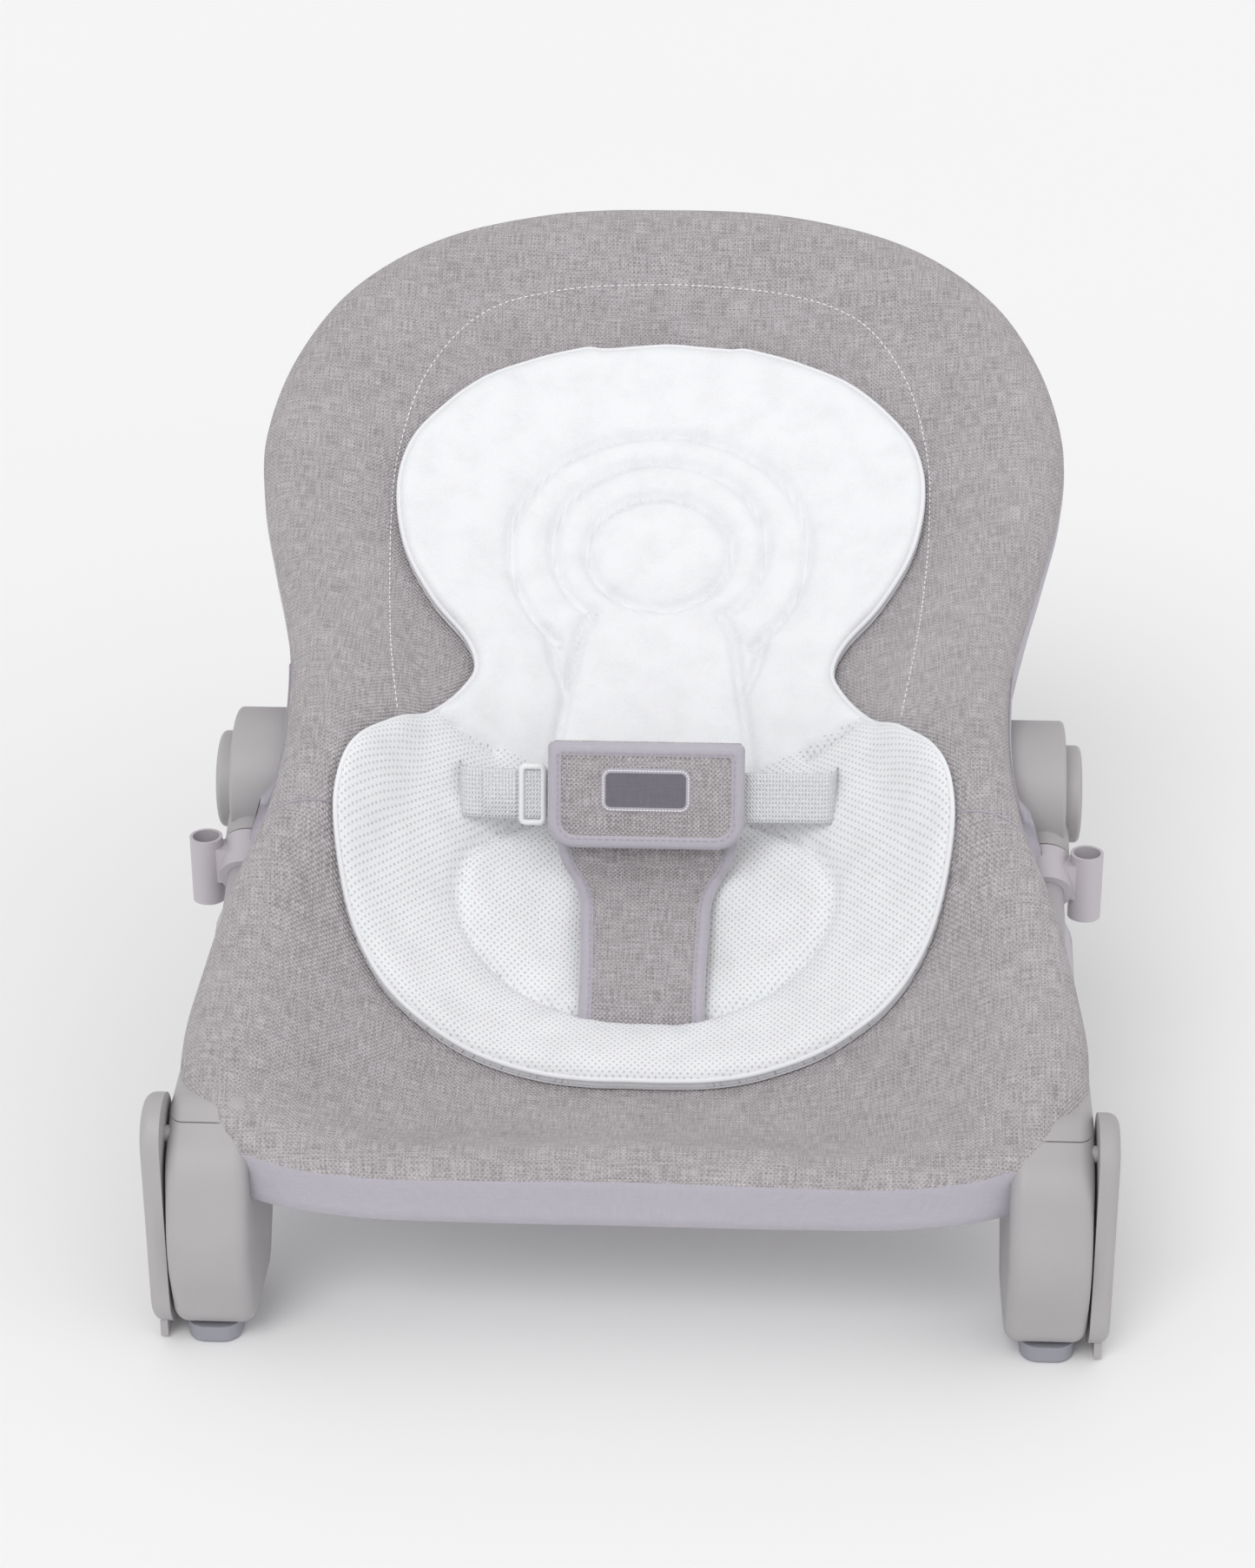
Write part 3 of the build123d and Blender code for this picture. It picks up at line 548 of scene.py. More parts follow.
def cover_section(x, s):
    """One ray of the cover, from the middle underneath round the rim to the middle on
    top: its reach, and rows of (inward, above, kind); kind 0 is the woven top, 1 the
    band and 2 the lining."""
    reach = math.hypot(x, s - float(core_point(s)))
    middle = float(smooth_through(SLING_DROP, core_point(s)))
    rise = float(smooth_through(RIM_RISE, s))
    rise += 10.0 * float(bump(s, -182, 38)) * float(ease((abs(x) - 120) / 60))
    over_hub = float(ease((54 - abs(s - 2)) / 12))
    low = -19.0 * (1 - over_hub) + (rise - 4.0) * over_hub
    front = float(ease((-s - 200) / 34)) * float(ease((205 - abs(x)) / 30))
    seam = math.radians(-12 + 62 * front)
    flare = FLARE * float(ease((-s - 34) / 18)) * float(ease((s + 150) / 85))
    flare = min(flare, max(0.0, WIDEST - abs(x)))
    top = rise + ROLL
    well = 9.0 * float(bump(core_point(s), 40, 55)) * float(ease((abs(x) - 150) / 20))

    def inside(q):
        t = np.clip((q - ROLL) / (reach - ROLL), 0, 1)
        shoulder = 0.16
        bowl = np.where(t < shoulder, t * t / (2 * shoulder), t - shoulder / 2) / (1 - shoulder / 2)
        drop = 1 - (1 - bowl) ** 2.1
        dip = well * ease((q - 52) / 16)
        return top + (middle - top) * drop - dip * (1 - t ** 3)

    rows = []
    for q in np.linspace(reach, 44, 18):
        rows.append((q, float(inside(q)) - 8.0, 2))
    lip = [(36, low + 6), (28, low + 1.5), (19, low), (10, low + 1), (3 - 0.7 * flare, low + 5)]
    rows += [(q, h, 2 if k < 2 else 1) for k, (q, h) in enumerate(lip)]
    seam_q, seam_n = ROLL * (1 - math.cos(seam)), rise + ROLL * math.sin(seam)
    wall_low = low + 9
    for t in np.linspace(0, 1, 6)[:-1]:
        q = (1 - t) * (-flare) + t * seam_q
        bulge = 2.2 * math.sin(math.pi * t) * (1 - front)
        rows.append((q - bulge + 1.2 * math.sin(math.pi * t), wall_low + (seam_n - wall_low) * t, 1))
    rows.append((seam_q + 0.9, seam_n, 1))
    for angle in np.linspace(seam + 0.12, math.pi / 2, 8):
        rows.append((ROLL * (1 - math.cos(angle)), rise + ROLL * math.sin(angle), 0))
    for t in np.linspace(0, 1, 45)[1:]:
        q = ROLL + (reach - ROLL) * t
        rows.append((q, float(inside(q)), 0))
    return reach, rows


def cover_creases(x, s, inward):
    """Small gathers and slack of the cloth, in mm above the smooth shape."""
    point = Vector((x * 0.02, s * 0.02, 0.0))
    slack = 1.1 * noise.noise(point) + 0.5 * noise.noise(point * 2.7)
    round_rim = math.atan2(x, s - 40)
    rim = math.exp(-((inward - 34) / 20) ** 2)
    gather = noise.noise(Vector((round_rim * 9.0, inward * 0.012, 3.1)))
    front = float(ease((-s - 150) / 50))
    return slack * min(1.0, inward / 20) + gather * rim * (1.3 + 3.2 * front)


def build_cover(settings):
    """The padded cover: woven top, sateen band and lining, as one closed piece."""
    outline = symmetric_outline(COVER_HALF, settings.outline_steps)
    verts, uvs = [], []
    for x, s in outline:
        reach, rows = cover_section(x, s)
        core = float(core_point(s))
        inward = np.array([-x, core - s]) / reach
        arcs = [0.0]
        for (q, n, _), (next_q, next_n, _) in zip(rows, rows[1:]):
            arcs.append(arcs[-1] + math.hypot(next_q - q, next_n - n))
        crown = next(i for i, row in enumerate(rows) if row[2] == 0 and row[0] >= ROLL - 0.01)
        for (q, n, kind), run in zip(rows, arcs):
            px, ps = x + inward[0] * q, s + inward[1] * q
            lift = cover_creases(px, ps, q) if kind == 0 else 0.0
            verts.append(place(px, ps, n + lift))
            flat = ROLL + run - arcs[crown] if q < ROLL or kind else q
            uvs.append(((x + inward[0] * flat) * MM, (s + inward[1] * flat) * MM))
    columns = len(rows)
    faces = grid_faces(len(outline), columns, wrap_rows=True)
    slots = [min(row[2], 1) for row in rows[1:]] * len(outline)
    return new_piece("cover", verts, faces, [finish("heather_weave"), finish("band_sateen")],
                     slots, uvs)


def arch_line(points):
    """A line given by its right half, mirrored, as smooth points (across, along)."""
    left = [(-x, s) for x, s in reversed(points) if x > 0]
    return even_steps(rounded_line(list(points) + left), 260)


COVER_ARCH = [(124, 22), (131, 66), (136, 110), (139, 155), (138, 198), (127, 246), (101, 284),
              (58, 302), (0, 307)]


class BOUNCER_PG_cover(bpy.types.PropertyGroup):
    outline_steps: bpy.props.IntProperty(
        name="Outline steps", description="Points round the cover's outline", default=420, min=120)
    stitch_pitch: bpy.props.FloatProperty(
        name="Stitch pitch", description="Distance between stitches, in millimetres", default=3.6)


class BOUNCER_OT_cover(bpy.types.Operator):
    """Make the padded cover with its seams and topstitching"""
    bl_idname = "bouncer.cover"
    bl_label = "Cover"

    def execute(self, context):
        settings = context.scene.bouncer_cover
        cover = build_cover(settings)
        tree = surface_of(cover)
        arch = arch_line(COVER_ARCH)
        arch_thread = sew("cover_arch_stitches", [drop_on(tree, arch[:, 0], arch[:, 1], 0.15)],
                          finish("white_thread"), settings.stitch_pitch, 2.7, 0.75)
        seam_lines = []
        for side in SIDES.values():
            ends = [(side * 186, -57), (side * 170, -52), (side * 147, -46)]
            ends = even_steps(rounded_line(ends), 40)
            seam_lines.append(drop_on(tree, ends[:, 0], ends[:, 1], 0.1))
        joins = [tube_along("cover_join", line, 0.55 * MM, finish("band_thread"))
                 for line in seam_lines]
        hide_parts("seat_padding", "back_padding")
        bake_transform(cover)
        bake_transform(arch_thread)
        for join, side in zip(joins, SIDES):
            join.name = "cover_join_" + side
            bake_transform(join)
        return {"FINISHED"}


# Insert.

INSERT_HALF = [(0, -149), (36, -148), (68, -142), (98, -132), (122, -115), (139, -89), (147, -58),
               (146, -36), (138, -14), (123, 9), (107, 32), (95, 53), (90, 69), (96, 85), (113, 104),
               (128, 130), (135, 160), (134, 188), (124, 212), (99, 240), (70, 256), (44, 265),
               (36, 265), (28, 265.5), (0, 268)]
INSERT_CORE = (-82.0, 180.0)
INSERT_SPAN = 416.0
INSERT_THICKNESS = 13.0
DEPTH_STEPS = 68


def insert_seams():
    """Sewn lines of the insert on its plan, each a list of (across, along)."""
    seams = []
    for radius_x, radius_s, middle, open_angle in ((37, 32, 143, 0), (55, 50, 146, 42),
                                                  (77, 70, 143, 40)):
        half = math.radians(open_angle)
        angles = np.linspace(-math.pi / 2 + half, 1.5 * math.pi - half, 120)
        seams.append([(radius_x * math.cos(a), middle + radius_s * math.sin(a)) for a in angles])
    for side in SIDES.values():
        spine = [(side * 32, 108), (side * 39, 95), (side * 43, 70), (side * 47, 45), (side * 50, 20),
                 (side * 50, -4)]
        seams.append(rounded_line(spine))
        seams.append(rounded_line([(side * 56, 98), (side * 52, 80), (side * 44, 60)]))
        seams.append(rounded_line([(side * 110, 33), (side * 96, 28), (side * 79, 21)]))
    angles = np.linspace(0, math.tau, 160)
    seams.append([(92 * math.cos(a), -54 + 56 * math.sin(a)) for a in angles])
    return [np.asarray(seam, float) for seam in seams]


def puckers(x, s, turns, middle, seed):
    """Ripples that run outwards from a middle point on the centre line."""
    around = math.atan2(x, s - middle)
    return noise.noise(Vector((math.cos(around) * turns, math.sin(around) * turns, seed)))


def insert_height(x, s, inward, seam_near):
    """Thickness of the insert at a place, in mm."""
    rim = min(1.0, inward / 11.0)
    round_edge = math.sqrt(max(0.0, 1 - (1 - rim) ** 2))
    thick = INSERT_THICKNESS * (0.42 + 0.58 * round_edge)
    groove = 4.6 * math.exp(-(seam_near / 2.4) ** 2) + 3.0 * math.exp(-(seam_near / 9.0) ** 2)
    middle = 143.0 if s > 66 else -54.0
    beside = math.exp(-((seam_near - 6.0) / 5.0) ** 2)
    pucker = 1.5 * beside * puckers(x, s, 6.5, middle, 2.2)
    hem = 1.8 * puckers(x, s, 5.0, middle, 5.1) * math.exp(-((inward - 12) / 13) ** 2)
    soft = 0.8 * noise.noise(Vector((x * 0.018, s * 0.018, 7.7)))
    return thick - groove * rim + (pucker + soft + hem) * rim


def build_insert(tree, settings):
    """The figure-of-eight insert lying in the cover's sling."""
    outline = symmetric_outline(INSERT_HALF, settings.outline_steps)
    seam_points = np.vstack([even_steps(seam, 160) for seam in insert_seams()])
    marks = KDTree(len(seam_points))
    for number, (x, s) in enumerate(seam_points):
        marks.insert((x, s, 0.0), number)
    marks.balance()
    verts, uvs = [], []
    for x, s in outline:
        t = np.clip((s - INSERT_HALF[0][1]) / INSERT_SPAN, 0, 1)
        core = INSERT_CORE[0] + (INSERT_CORE[1] - INSERT_CORE[0]) * float(t)
        reach = math.hypot(x, s - core)
        inward = np.array([-x, core - s]) / reach
        steps = reach * (np.linspace(0, 1, DEPTH_STEPS) ** 1.15)
        px, ps = x + inward[0] * steps, s + inward[1] * steps
        base = drop_on(tree, px, ps, 0.0)
        up = place(px, ps, 1.0) - place(px, ps, 0.0)
        for k in range(DEPTH_STEPS - 1, -1, -1):
            sink = 0.6 if steps[k] > 6 else 0.6 + 2.0 * (1 - steps[k] / 6)
            verts.append(base[k] + up[k] * sink)
            uvs.append((px[k] * MM, ps[k] * MM))
        side_up = INSERT_THICKNESS * 0.28
        out = place(x - inward[0] * 1.6, s - inward[1] * 1.6, 0) - place(x, s, 0)
        verts.append(base[0] + up[0] * side_up + out)
        uvs.append((x * MM, s * MM))
        for k in range(DEPTH_STEPS):
            near = marks.find((px[k], ps[k], 0.0))[2]
            verts.append(base[k] + up[k] * insert_height(px[k], ps[k], steps[k], near))
            uvs.append((px[k] * MM, ps[k] * MM))
    columns = 2 * DEPTH_STEPS + 1
    faces = grid_faces(len(outline), columns, wrap_rows=True)
    slots = []
    flat = np.array(uvs).reshape(len(outline), columns, 2) / MM
    for i in range(len(outline)):
        for j in range(columns - 1):
            fx, fs = flat[i, j]
            slots.append(1 if fs < 6 + 0.24 * abs(fx) else 0)
    return new_piece("insert", verts, faces, [finish("jersey_plain"), finish("jersey_dotted")],
                     slots, uvs), outline


class BOUNCER_PG_insert(bpy.types.PropertyGroup):
    outline_steps: bpy.props.IntProperty(
        name="Outline steps", description="Points round the insert's outline", default=460, min=120)
    piping: bpy.props.FloatProperty(
        name="Piping", description="Radius of the piped edge, in millimetres", default=1.3)


class BOUNCER_OT_insert(bpy.types.Operator):
    """Make the white insert with its sewn rings and piped edge"""
    bl_idname = "bouncer.insert"
    bl_label = "Insert"

    def execute(self, context):
        settings = context.scene.bouncer_insert
        cover = bpy.data.objects.get("cover")
        if cover is None:
            raise RuntimeError("the cover has to be made before the insert")
        tree = surface_of(cover)
        insert, outline = build_insert(tree, settings)
        pipings = []
        for name, share in (("insert_piping_top", 0.55), ("insert_piping_under", 0.16)):
            edge = drop_on(tree, outline[:, 0], outline[:, 1], INSERT_THICKNESS * share)
            pipings.append(tube_along(name, edge, settings.piping * MM, finish("jersey_plain"),
                                      closed=True))
        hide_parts("seat_cushion", "back_cushion")
        for piece in (insert, *pipings):
            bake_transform(piece)
        return {"FINISHED"}


# Harness.

def rounded_rectangle(half_x, half_y, corner, count=160, middle=(0.0, 0.0)):
    """Even points round a rounded rectangle; the corner may be two radii: top, bottom."""
    top, bottom = corner if isinstance(corner, tuple) else (corner, corner)
    points = []
    for cx, cy, radius, start in ((half_x, -half_y, bottom, -90), (half_x, half_y, top, 0),
                                  (-half_x, half_y, top, 90), (-half_x, -half_y, bottom, 180)):
        mx = cx - math.copysign(radius, cx)
        my = cy - math.copysign(radius, cy)
        for a in np.radians(np.linspace(start, start + 90, 14)):
            points.append((mx + radius * math.cos(a), my + radius * math.sin(a)))
    return even_steps(np.array(points) + middle, count, closed=True)


def ringed_panel(name, ring, levels, where, materials, bound_rings, backing):
    """A soft panel from nested rings: levels are (inset, height) pairs, the first
    rings belong to the binding, and backing is the height of its flat back."""
    loops = [ring(inset) for inset, _ in levels]
    count = len(loops[0])
    heights = [height for _, height in levels]
    verts, uvs = [], []
    back = ring(levels[0][0] + 0.6)
    for loop, height in [(back, backing)] + list(zip(loops, heights)):
        verts += list(where(loop[:, 0], loop[:, 1], height))
        uvs += [(x * MM, y * MM) for x, y in loop]
    rows = len(loops) + 1
    faces = grid_faces(rows, count, wrap_columns=True)
    slots = [1 if i < bound_rings + 1 else 0 for i in range(rows - 1) for _ in range(count)]
    for loop, height, first, slot in ((loops[-1], heights[-1], (rows - 1) * count, 0),
                                      (back, backing, 0, 0)):
        centre = loop.mean(axis=0)
        verts.append(where(centre[0], centre[1], height))
        uvs.append((centre[0] * MM, centre[1] * MM))
        for j in range(count):
            faces.append((first + j, first + (j + 1) % count, len(verts) - 1))
            slots.append(slot)
    return new_piece(name, verts, faces, materials, slots, uvs)


FLAP_HALF_WIDTH = 48.0
FLAP_HEIGHT = 53.0
BINDING = 6.5


def flap_ring(inset):
    """The flap's outline, drawn in by an inset; the fold is its upper edge."""
    middle = (0.0, -FLAP_HEIGHT / 2)
    return rounded_rectangle(FLAP_HALF_WIDTH - inset, FLAP_HEIGHT / 2 - inset,
                             (max(3.0 - inset * 0.3, 1.0), max(14.0 - inset, 3.0)), 200, middle)


def strap_frame():
    """The crotch strap's route as (dy, dz) in mm from the recline axis, foot to fold."""
    a = math.radians(BUCKLE_TILT)
    fold_y, fold_z = (FOLD[1] - HINGE[1]) / MM, (FOLD[2] - HINGE[2]) / MM

    def beside(up, out):
        return (fold_y + up * math.cos(a) - (out - 10) * math.sin(a),
                fold_z + up * math.sin(a) + (out - 10) * math.cos(a))

    knee, crest = beside(-62, -6), beside(-3, -6)
    return rounded_line([(-77, -101), (-82, -86), (-76, -75), (-58, -61.5), (-40, -50),
                         (-24, -40), knee, beside(-44, -6.4), beside(-22, -6), crest])


STRAP_HALF_WIDTHS = [(0.0, 31), (0.35, 31.5), (0.52, 34), (0.64, 43), (0.74, 46), (1.0, 46)]


def build_strap():
    """Crotch strap with bound edges."""
    route = even_steps(strap_frame(), 90)
    ahead = np.gradient(route, axis=0)
    ahead /= np.linalg.norm(ahead, axis=1)[:, None]
    out = np.stack([-ahead[:, 1], ahead[:, 0]], axis=1)
    run = np.concatenate([[0], np.cumsum(np.linalg.norm(np.diff(route, axis=0), axis=1))])
    share = run / run[-1]
    half = smooth_through(STRAP_HALF_WIDTHS, share)
    verts, uvs = [], []
    for (y, z), (oy, oz), w, length in zip(route, out, half, run):
        top = [(-w, 0.3), (-w + 0.8, 1.9), (-w + BINDING - 0.6, 2.1), (-w + BINDING, 1.3)]
        top += [(x, 1.3 + 0.5 * math.cos(x / w * math.pi / 2)) for x in
                np.linspace(-w + BINDING + 2, w - BINDING - 2, 9)]
        top += [(-x, h) for x, h in reversed(top[:4])]
        under = [(w - 0.8, -1.4), (0.0, -1.4), (-w + 0.8, -1.4)]
        for x, h in top + under:
            verts.append((x * MM, HINGE[1] + (y + oy * h) * MM, HINGE[2] + (z + oz * h) * MM))
            uvs.append((x * MM, length * MM))
    columns = len(top) + len(under)
    faces = grid_faces(len(route), columns, wrap_columns=True)
    edge_columns = {0, 1, 2, 13, 14, 15, columns - 1}
    slots = [1 if j in edge_columns else 0 for _ in range(len(route) - 1) for j in range(columns)]
    faces += end_caps(columns, len(verts))
    slots += [0, 0]
    strap = new_piece("crotch_strap_cloth", verts, faces,
                      [finish("heather_weave"), finish("band_sateen")], slots, uvs)
    lines = []
    for side in SIDES.values():
        line = []
        for (y, z), (oy, oz), w in list(zip(route, out, half))[2:-2]:
            line.append((side * (w - BINDING + 1.4) * MM, HINGE[1] + (y + oy * 2.2) * MM,
                         HINGE[2] + (z + oz * 2.2) * MM))
        lines.append(np.array(line))
    return strap, lines


class BOUNCER_PG_harness(bpy.types.PropertyGroup):
    belt_width: bpy.props.FloatProperty(
        name="Belt width", description="Width of the waist webbing, in millimetres", default=25.0)
    belt_thickness: bpy.props.FloatProperty(
        name="Belt thickness", description="Thickness of the webbing, in millimetres", default=1.6)


class BOUNCER_OT_strap(bpy.types.Operator):
    """Make the crotch strap with its bound edges and topstitching"""
    bl_idname = "bouncer.strap"
    bl_label = "Crotch strap"

    def execute(self, context):
        strap, lines = build_strap()
        thread = sew("crotch_strap_stitches", lines, finish("band_thread"), 3.4, 2.5, 0.6)
        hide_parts("crotch_strap")
        for piece in (strap, thread):
            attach(piece, "seat_frame")
        return {"FINISHED"}


class BOUNCER_OT_flap(bpy.types.Operator):
    """Make the flap over the buckle with its binding and plain patch"""
    bl_idname = "bouncer.flap"
    bl_label = "Buckle flap"

    def execute(self, context):
        levels = [(0, 9.5), (0.8, 11.6), (2.6, 12.4), (BINDING - 0.8, 12.3), (BINDING, 11.4),
                  (BINDING + 2, 11.9), (BINDING + 6, 12.5), (BINDING + 11, 12.8)]
        flap = ringed_panel("flap_cloth", flap_ring, levels, buckle_place,
                            [finish("heather_weave"), finish("band_sateen")], 4, 8.2)
        loop = flap_ring(BINDING - 1.5)
        thread = sew("flap_stitches", [buckle_place(loop[:, 0], loop[:, 1], 12.5)],
                     finish("band_thread"), 3.4, 2.5, 0.6)

        def patch_ring(inset):
            return rounded_rectangle(22 - inset, 11 - inset, max(5 - inset, 1.0), 120, (0, -23))

        patch = ringed_panel("flap_patch_cloth", patch_ring, [(0, 12.7), (0.5, 13.7), (1.6, 13.9),
                             (2.4, 13.6), (4, 13.6)], buckle_place,
                             [finish("label_weave"), finish("band_sateen")], 3, 12.2)
        edge = patch_ring(1.2)
        border = sew("flap_patch_stitches", [buckle_place(edge[:, 0], edge[:, 1], 13.9)],
                     finish("white_thread"), 1.5, 1.3, 0.7)
        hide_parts("flap_panel")
        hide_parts("flap_patch")
        for piece, slot in ((flap, "cover_fabric"), (thread, "cover_fabric"), (patch, "patch"),
                            (border, "patch")):
            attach(piece, "crotch_flap")
        return {"FINISHED"}


BELT_START, BELT_END = 47.0, 93.0
SLIDER_AT = 56.0
FOLD_SPAN = (64.0, 80.0)


def belt_strip(name, side, start, end, thickness, width):
    """Flat webbing from the buckle outwards, which then dives into the insert."""
    route = rounded_line([(start, 0.0), (start + (end - 8 - start) * 0.5, 0.3), (end - 8, -0.5),
                          (end - 2, -4.0), (end, -14.0), (end, -26.0), (end - 1, -40.0)])
    route = even_steps(route, 70)
    run = np.concatenate([[0], np.cumsum(np.linalg.norm(np.diff(route, axis=0), axis=1))])
    half, thick = width / 2, thickness / 2
    shape = [(-half, 0), (-half + 0.7, thick), (-half + 4, thick * 1.1), (0, thick),
             (half - 4, thick * 1.1), (half - 0.7, thick), (half, 0), (half - 0.7, -thick),
             (0, -thick), (-half + 0.7, -thick)]
    verts, uvs = [], []
    for (x, depth), length in zip(route, run):
        for up, out in shape:
            wave = 0.35 * math.sin(length * 0.16 + side)
            verts.append(buckle_place(side * x, up - BELT_BELOW_FOLD, depth + out + wave))
            uvs.append((length * MM, up * MM))
    columns = len(shape)
    faces = grid_faces(len(route), columns, wrap_columns=True)
    faces += end_caps(columns, len(verts))
    return new_piece(name, verts, faces, [finish("webbing_tape")], None, uvs)


def flat_strip(name, side, start, end, sizes, lift):
    """Second layer of webbing where the belt is folded back and sewn."""
    half, thick = sizes.belt_width / 2 - 0.2, sizes.belt_thickness
    verts, uvs = [], []
    shape = [(-half, -0.3), (-half + 0.6, 0.4), (0, 0.5), (half - 0.6, 0.4), (half, -0.3),
             (half - 0.6, -0.7), (-half + 0.6, -0.7)]
    for x in np.linspace(start, end, 24):
        for up, out in shape:
            verts.append(buckle_place(side * x, up - BELT_BELOW_FOLD, lift + out * thick))
            uvs.append((x * MM, up * MM))
    faces = grid_faces(24, len(shape), wrap_columns=True)
    faces += end_caps(len(shape), len(verts))
    return new_piece(name, verts, faces, [finish("webbing_tape")], None, uvs)


def build_slider(side, sizes):
    """Adjuster that the webbing is threaded through, a moulded frame with rounded edges."""
    half_x, half_up = 7.0, sizes.belt_width / 2 + 3.2
    profile = [(0.0, 1.4), (0.3, 2.6), (1.1, 3.4), (2.2, 3.4), (2.9, 2.8), (3.1, 1.4), (2.9, 0.9),
               (0.4, 0.9)]
    loops = [rounded_rectangle(half_x - inset, half_up - inset, 3.6 - inset, 96,
                               (side * SLIDER_AT, -BELT_BELOW_FOLD)) for inset, _ in profile]
    verts = np.vstack([buckle_place(loop[:, 0], loop[:, 1], out)
                       for loop, (_, out) in zip(loops, profile)])
    faces = grid_faces(len(profile), 96, wrap_rows=True, wrap_columns=True)
    return new_piece("belt_slider_left", verts, faces, [finish("buckle_gloss")])


class BOUNCER_OT_belts(bpy.types.Operator):
    """Make the webbing of the waist belt"""
    bl_idname = "bouncer.belts"
    bl_label = "Waist belts"

    def execute(self, context):
        sizes = context.scene.bouncer_harness
        for name, side in SIDES.items():
            belt = belt_strip("waist_webbing_" + name, side, BELT_START, BELT_END,
                              sizes.belt_thickness, sizes.belt_width)
            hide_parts("waist_belt_" + name)
            pieces = [belt]
            if name == "left":
                lift = sizes.belt_thickness + 0.05
                fold = flat_strip("waist_webbing_fold", side, *FOLD_SPAN, sizes, lift)
                box = np.array([(68, -9), (77, -9), (77, 9), (68, 9), (68, -9)], float)
                line = even_steps(box, 60)
                line = buckle_place(side * line[:, 0], line[:, 1] - BELT_BELOW_FOLD, lift + 1.1)
                thread = sew("waist_webbing_stitches", [line], finish("white_thread"),
                             2.6, 2.0, 0.5)
                pieces += [fold, thread]
                slider = build_slider(side, sizes)
                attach(slider, "seat_frame")
            for piece in pieces:
                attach(piece, "seat_frame")
        return {"FINISHED"}


# Hard parts and stage.

CAD_FINISHES = {
    "shell_grain": ("seat_hub", "back_hub", "recline_button", "front_leg_front",
                    "front_leg_rear", "front_leg_cap", "stabiliser", "rear_knuckle"),
    "socket_plastic": ("toy_bar_socket",),
    "foot_rubber": ("front_foot", "rear_foot", "stabiliser_pad"),
    "plated_steel": ("pivot_bolt", "pivot_nut", "leg_pin", "leg_screws", "stabiliser_pin",
                     "button_spring", "buckle_spring"),
    "gear_black": ("lock_gear",),
    "coated_tube": ("seat_tube", "back_tube", "rear_leg_tube"),
    "buckle_gloss": ("buckle_body", "buckle_button", "belt_tongue"),
}


def colour(name, what, default):
    """A colour setting."""
    return bpy.props.FloatVectorProperty(name=name, description="Colour of the " + what,
                                         subtype="COLOR", default=default)


class BOUNCER_PG_finish(bpy.types.PropertyGroup):
    cover: colour("Cover", "woven cover", (0.475, 0.445, 0.460))
    band: colour("Band", "sateen band and bindings", (0.475, 0.45, 0.51))
    cushion: colour("Insert", "insert", (0.83, 0.83, 0.85))
    webbing: colour("Webbing", "waist belt", (0.80, 0.81, 0.84))
    patch: colour("Patch", "plain patch", (0.17, 0.16, 0.19))
    shell: colour("Plastic", "moulded shells", (0.40, 0.385, 0.395))
    socket: colour("Sockets", "toy bar sockets", (0.50, 0.47, 0.50))
    rubber: colour("Rubber", "rubber feet", (0.30, 0.30, 0.34))


class BOUNCER_OT_hard_parts(bpy.types.Operator):
    """Give each moulded, metal and rubber part its finish"""
    bl_idname = "bouncer.hard_parts"
    bl_label = "Hard parts"

    def execute(self, context):
        for name, node in frame["nodes"].items():
            for material, parts in CAD_FINISHES.items():
                if name.startswith(parts) and node.material_slots:
                    for slot in node.material_slots:
                        slot.material = finish(material)
                    break
        return {"FINISHED"}


class BOUNCER_PG_stage(bpy.types.PropertyGroup):
    elevation: bpy.props.FloatProperty(
        name="Elevation", description="Camera angle above level, in degrees", default=26.0)
    azimuth: bpy.props.FloatProperty(
        name="Azimuth", description="Camera angle round the seat, in degrees", default=2.6)
    distance: bpy.props.FloatProperty(
        name="Distance", description="Camera distance from the seat", unit="LENGTH", default=1.8)
    lens: bpy.props.FloatProperty(
        name="Lens", description="Focal length in millimetres", default=82.4)
    roll: bpy.props.FloatProperty(
        name="Roll", description="Camera roll, in degrees", default=-0.1)


FLOOR_REACH = 30.0
CAMERA_SHIFT = (-0.0150, -0.022)
AIM_FROM_HINGE = (0.0, 0.025, 0.008)


def soft_sun(name, towards, spread, strength):
    """A wide, soft, even light from one direction."""
    data = bpy.data.lights.new(name, "SUN")
    data.energy = strength
    data.angle = math.radians(spread)
    lamp = add_object(name, data)
    lamp.rotation_euler = Vector(towards).to_track_quat("Z", "Y").to_euler()


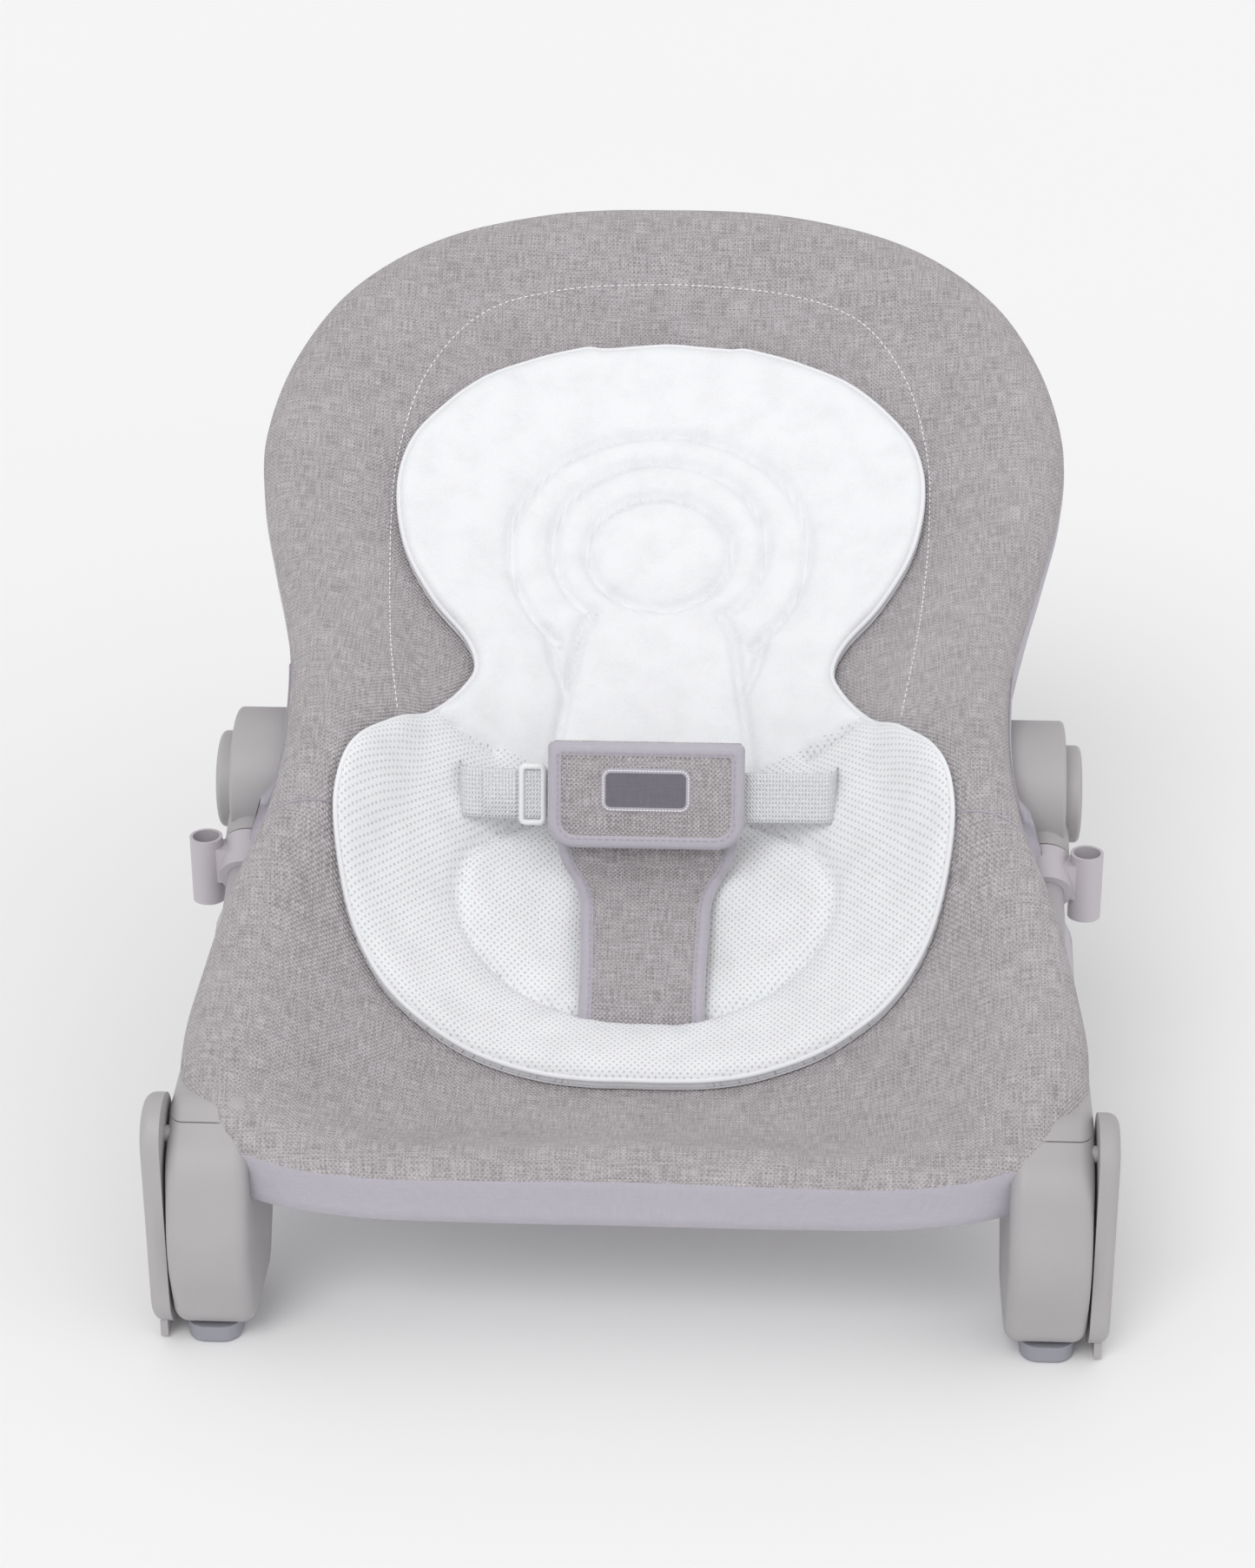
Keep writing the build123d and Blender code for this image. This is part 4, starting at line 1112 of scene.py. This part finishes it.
class BOUNCER_OT_stage(bpy.types.Operator):
    """Lay the floor and set the lights and the camera"""
    bl_idname = "bouncer.stage"
    bl_label = "Stage"

    def execute(self, context):
        settings = context.scene.bouncer_stage
        reach = FLOOR_REACH
        floor = new_piece("floor", [(-reach, -reach, 0), (reach, -reach, 0), (reach, reach, 0),
                                    (-reach, reach, 0)], [(0, 1, 2, 3)], smooth=False)
        material, tree, main = shader("studio_floor", (0.89, 0.89, 0.89), 0.9)
        where = in_object(tree)
        shade = color_between(tree, noise_node(tree, where, 0.6, 2.0), (0.885, 0.885, 0.885),
                              (0.895, 0.895, 0.895))
        tree.links.new(shade, main.inputs["Base Color"])
        floor.data.materials.append(material)
        world = bpy.data.worlds.new("studio")
        context.scene.world = world
        world.use_nodes = True
        sky = world.node_tree.nodes["Background"]
        sky.inputs["Color"].default_value = (1.0, 1.0, 1.0, 1.0)
        sky.inputs["Strength"].default_value = 0.74
        soft_sun("key", (-0.45, -1.15, 1.25), 30.0, 1.0)
        soft_sun("fill", (0.9, -0.6, 0.8), 60.0, 0.35)
        data = bpy.data.cameras.new("camera")
        data.sensor_width = 36.0
        data.lens = settings.lens
        data.shift_x, data.shift_y = CAMERA_SHIFT
        camera = add_object("camera", data)
        e, a = math.radians(settings.elevation), math.radians(settings.azimuth)
        back = Vector((math.sin(a) * math.cos(e), -math.cos(a) * math.cos(e), math.sin(e)))
        target = Vector(HINGE) + Vector(AIM_FROM_HINGE)
        camera.location = target + back * settings.distance
        turn = (-back).to_track_quat("-Z", "Y").to_matrix().to_4x4()
        roll = Matrix.Rotation(math.radians(settings.roll), 4, "Z")
        camera.rotation_euler = (turn @ roll).to_euler()
        context.scene.camera = camera
        context.scene.view_settings.view_transform = "Standard"
        return {"FINISHED"}


class BOUNCER_PT_panel(bpy.types.Panel):
    bl_idname = "BOUNCER_PT_panel"
    bl_label = "Bouncer seat"
    bl_space_type = "VIEW_3D"
    bl_region_type = "UI"
    bl_category = "Bouncer"

    def draw(self, context):
        for settings in SETTINGS:
            group = getattr(context.scene, settings)
            box = self.layout.box()
            for name in group.__annotations__:
                box.prop(group, name)
        for step in STEPS:
            self.layout.operator(step)


SETTINGS = {
    "bouncer_cover": BOUNCER_PG_cover,
    "bouncer_insert": BOUNCER_PG_insert,
    "bouncer_harness": BOUNCER_PG_harness,
    "bouncer_finish": BOUNCER_PG_finish,
    "bouncer_stage": BOUNCER_PG_stage,
}
OPERATORS = (BOUNCER_OT_cover, BOUNCER_OT_insert, BOUNCER_OT_strap, BOUNCER_OT_flap,
             BOUNCER_OT_belts, BOUNCER_OT_hard_parts, BOUNCER_OT_stage)
STEPS = tuple(operator.bl_idname for operator in OPERATORS)


def register():
    for name, group in SETTINGS.items():
        bpy.utils.register_class(group)
        setattr(bpy.types.Scene, name, bpy.props.PointerProperty(type=group))
    for kind in (*OPERATORS, BOUNCER_PT_panel):
        bpy.utils.register_class(kind)


def unregister():
    for kind in reversed((*OPERATORS, BOUNCER_PT_panel)):
        bpy.utils.unregister_class(kind)
    for name, group in reversed(SETTINGS.items()):
        delattr(bpy.types.Scene, name)
        bpy.utils.unregister_class(group)


def main():
    register()
    for step in STEPS:
        group, action = step.split(".")
        getattr(getattr(bpy.ops, group), action)()
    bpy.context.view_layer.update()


if __name__ == "__main__":
    main()
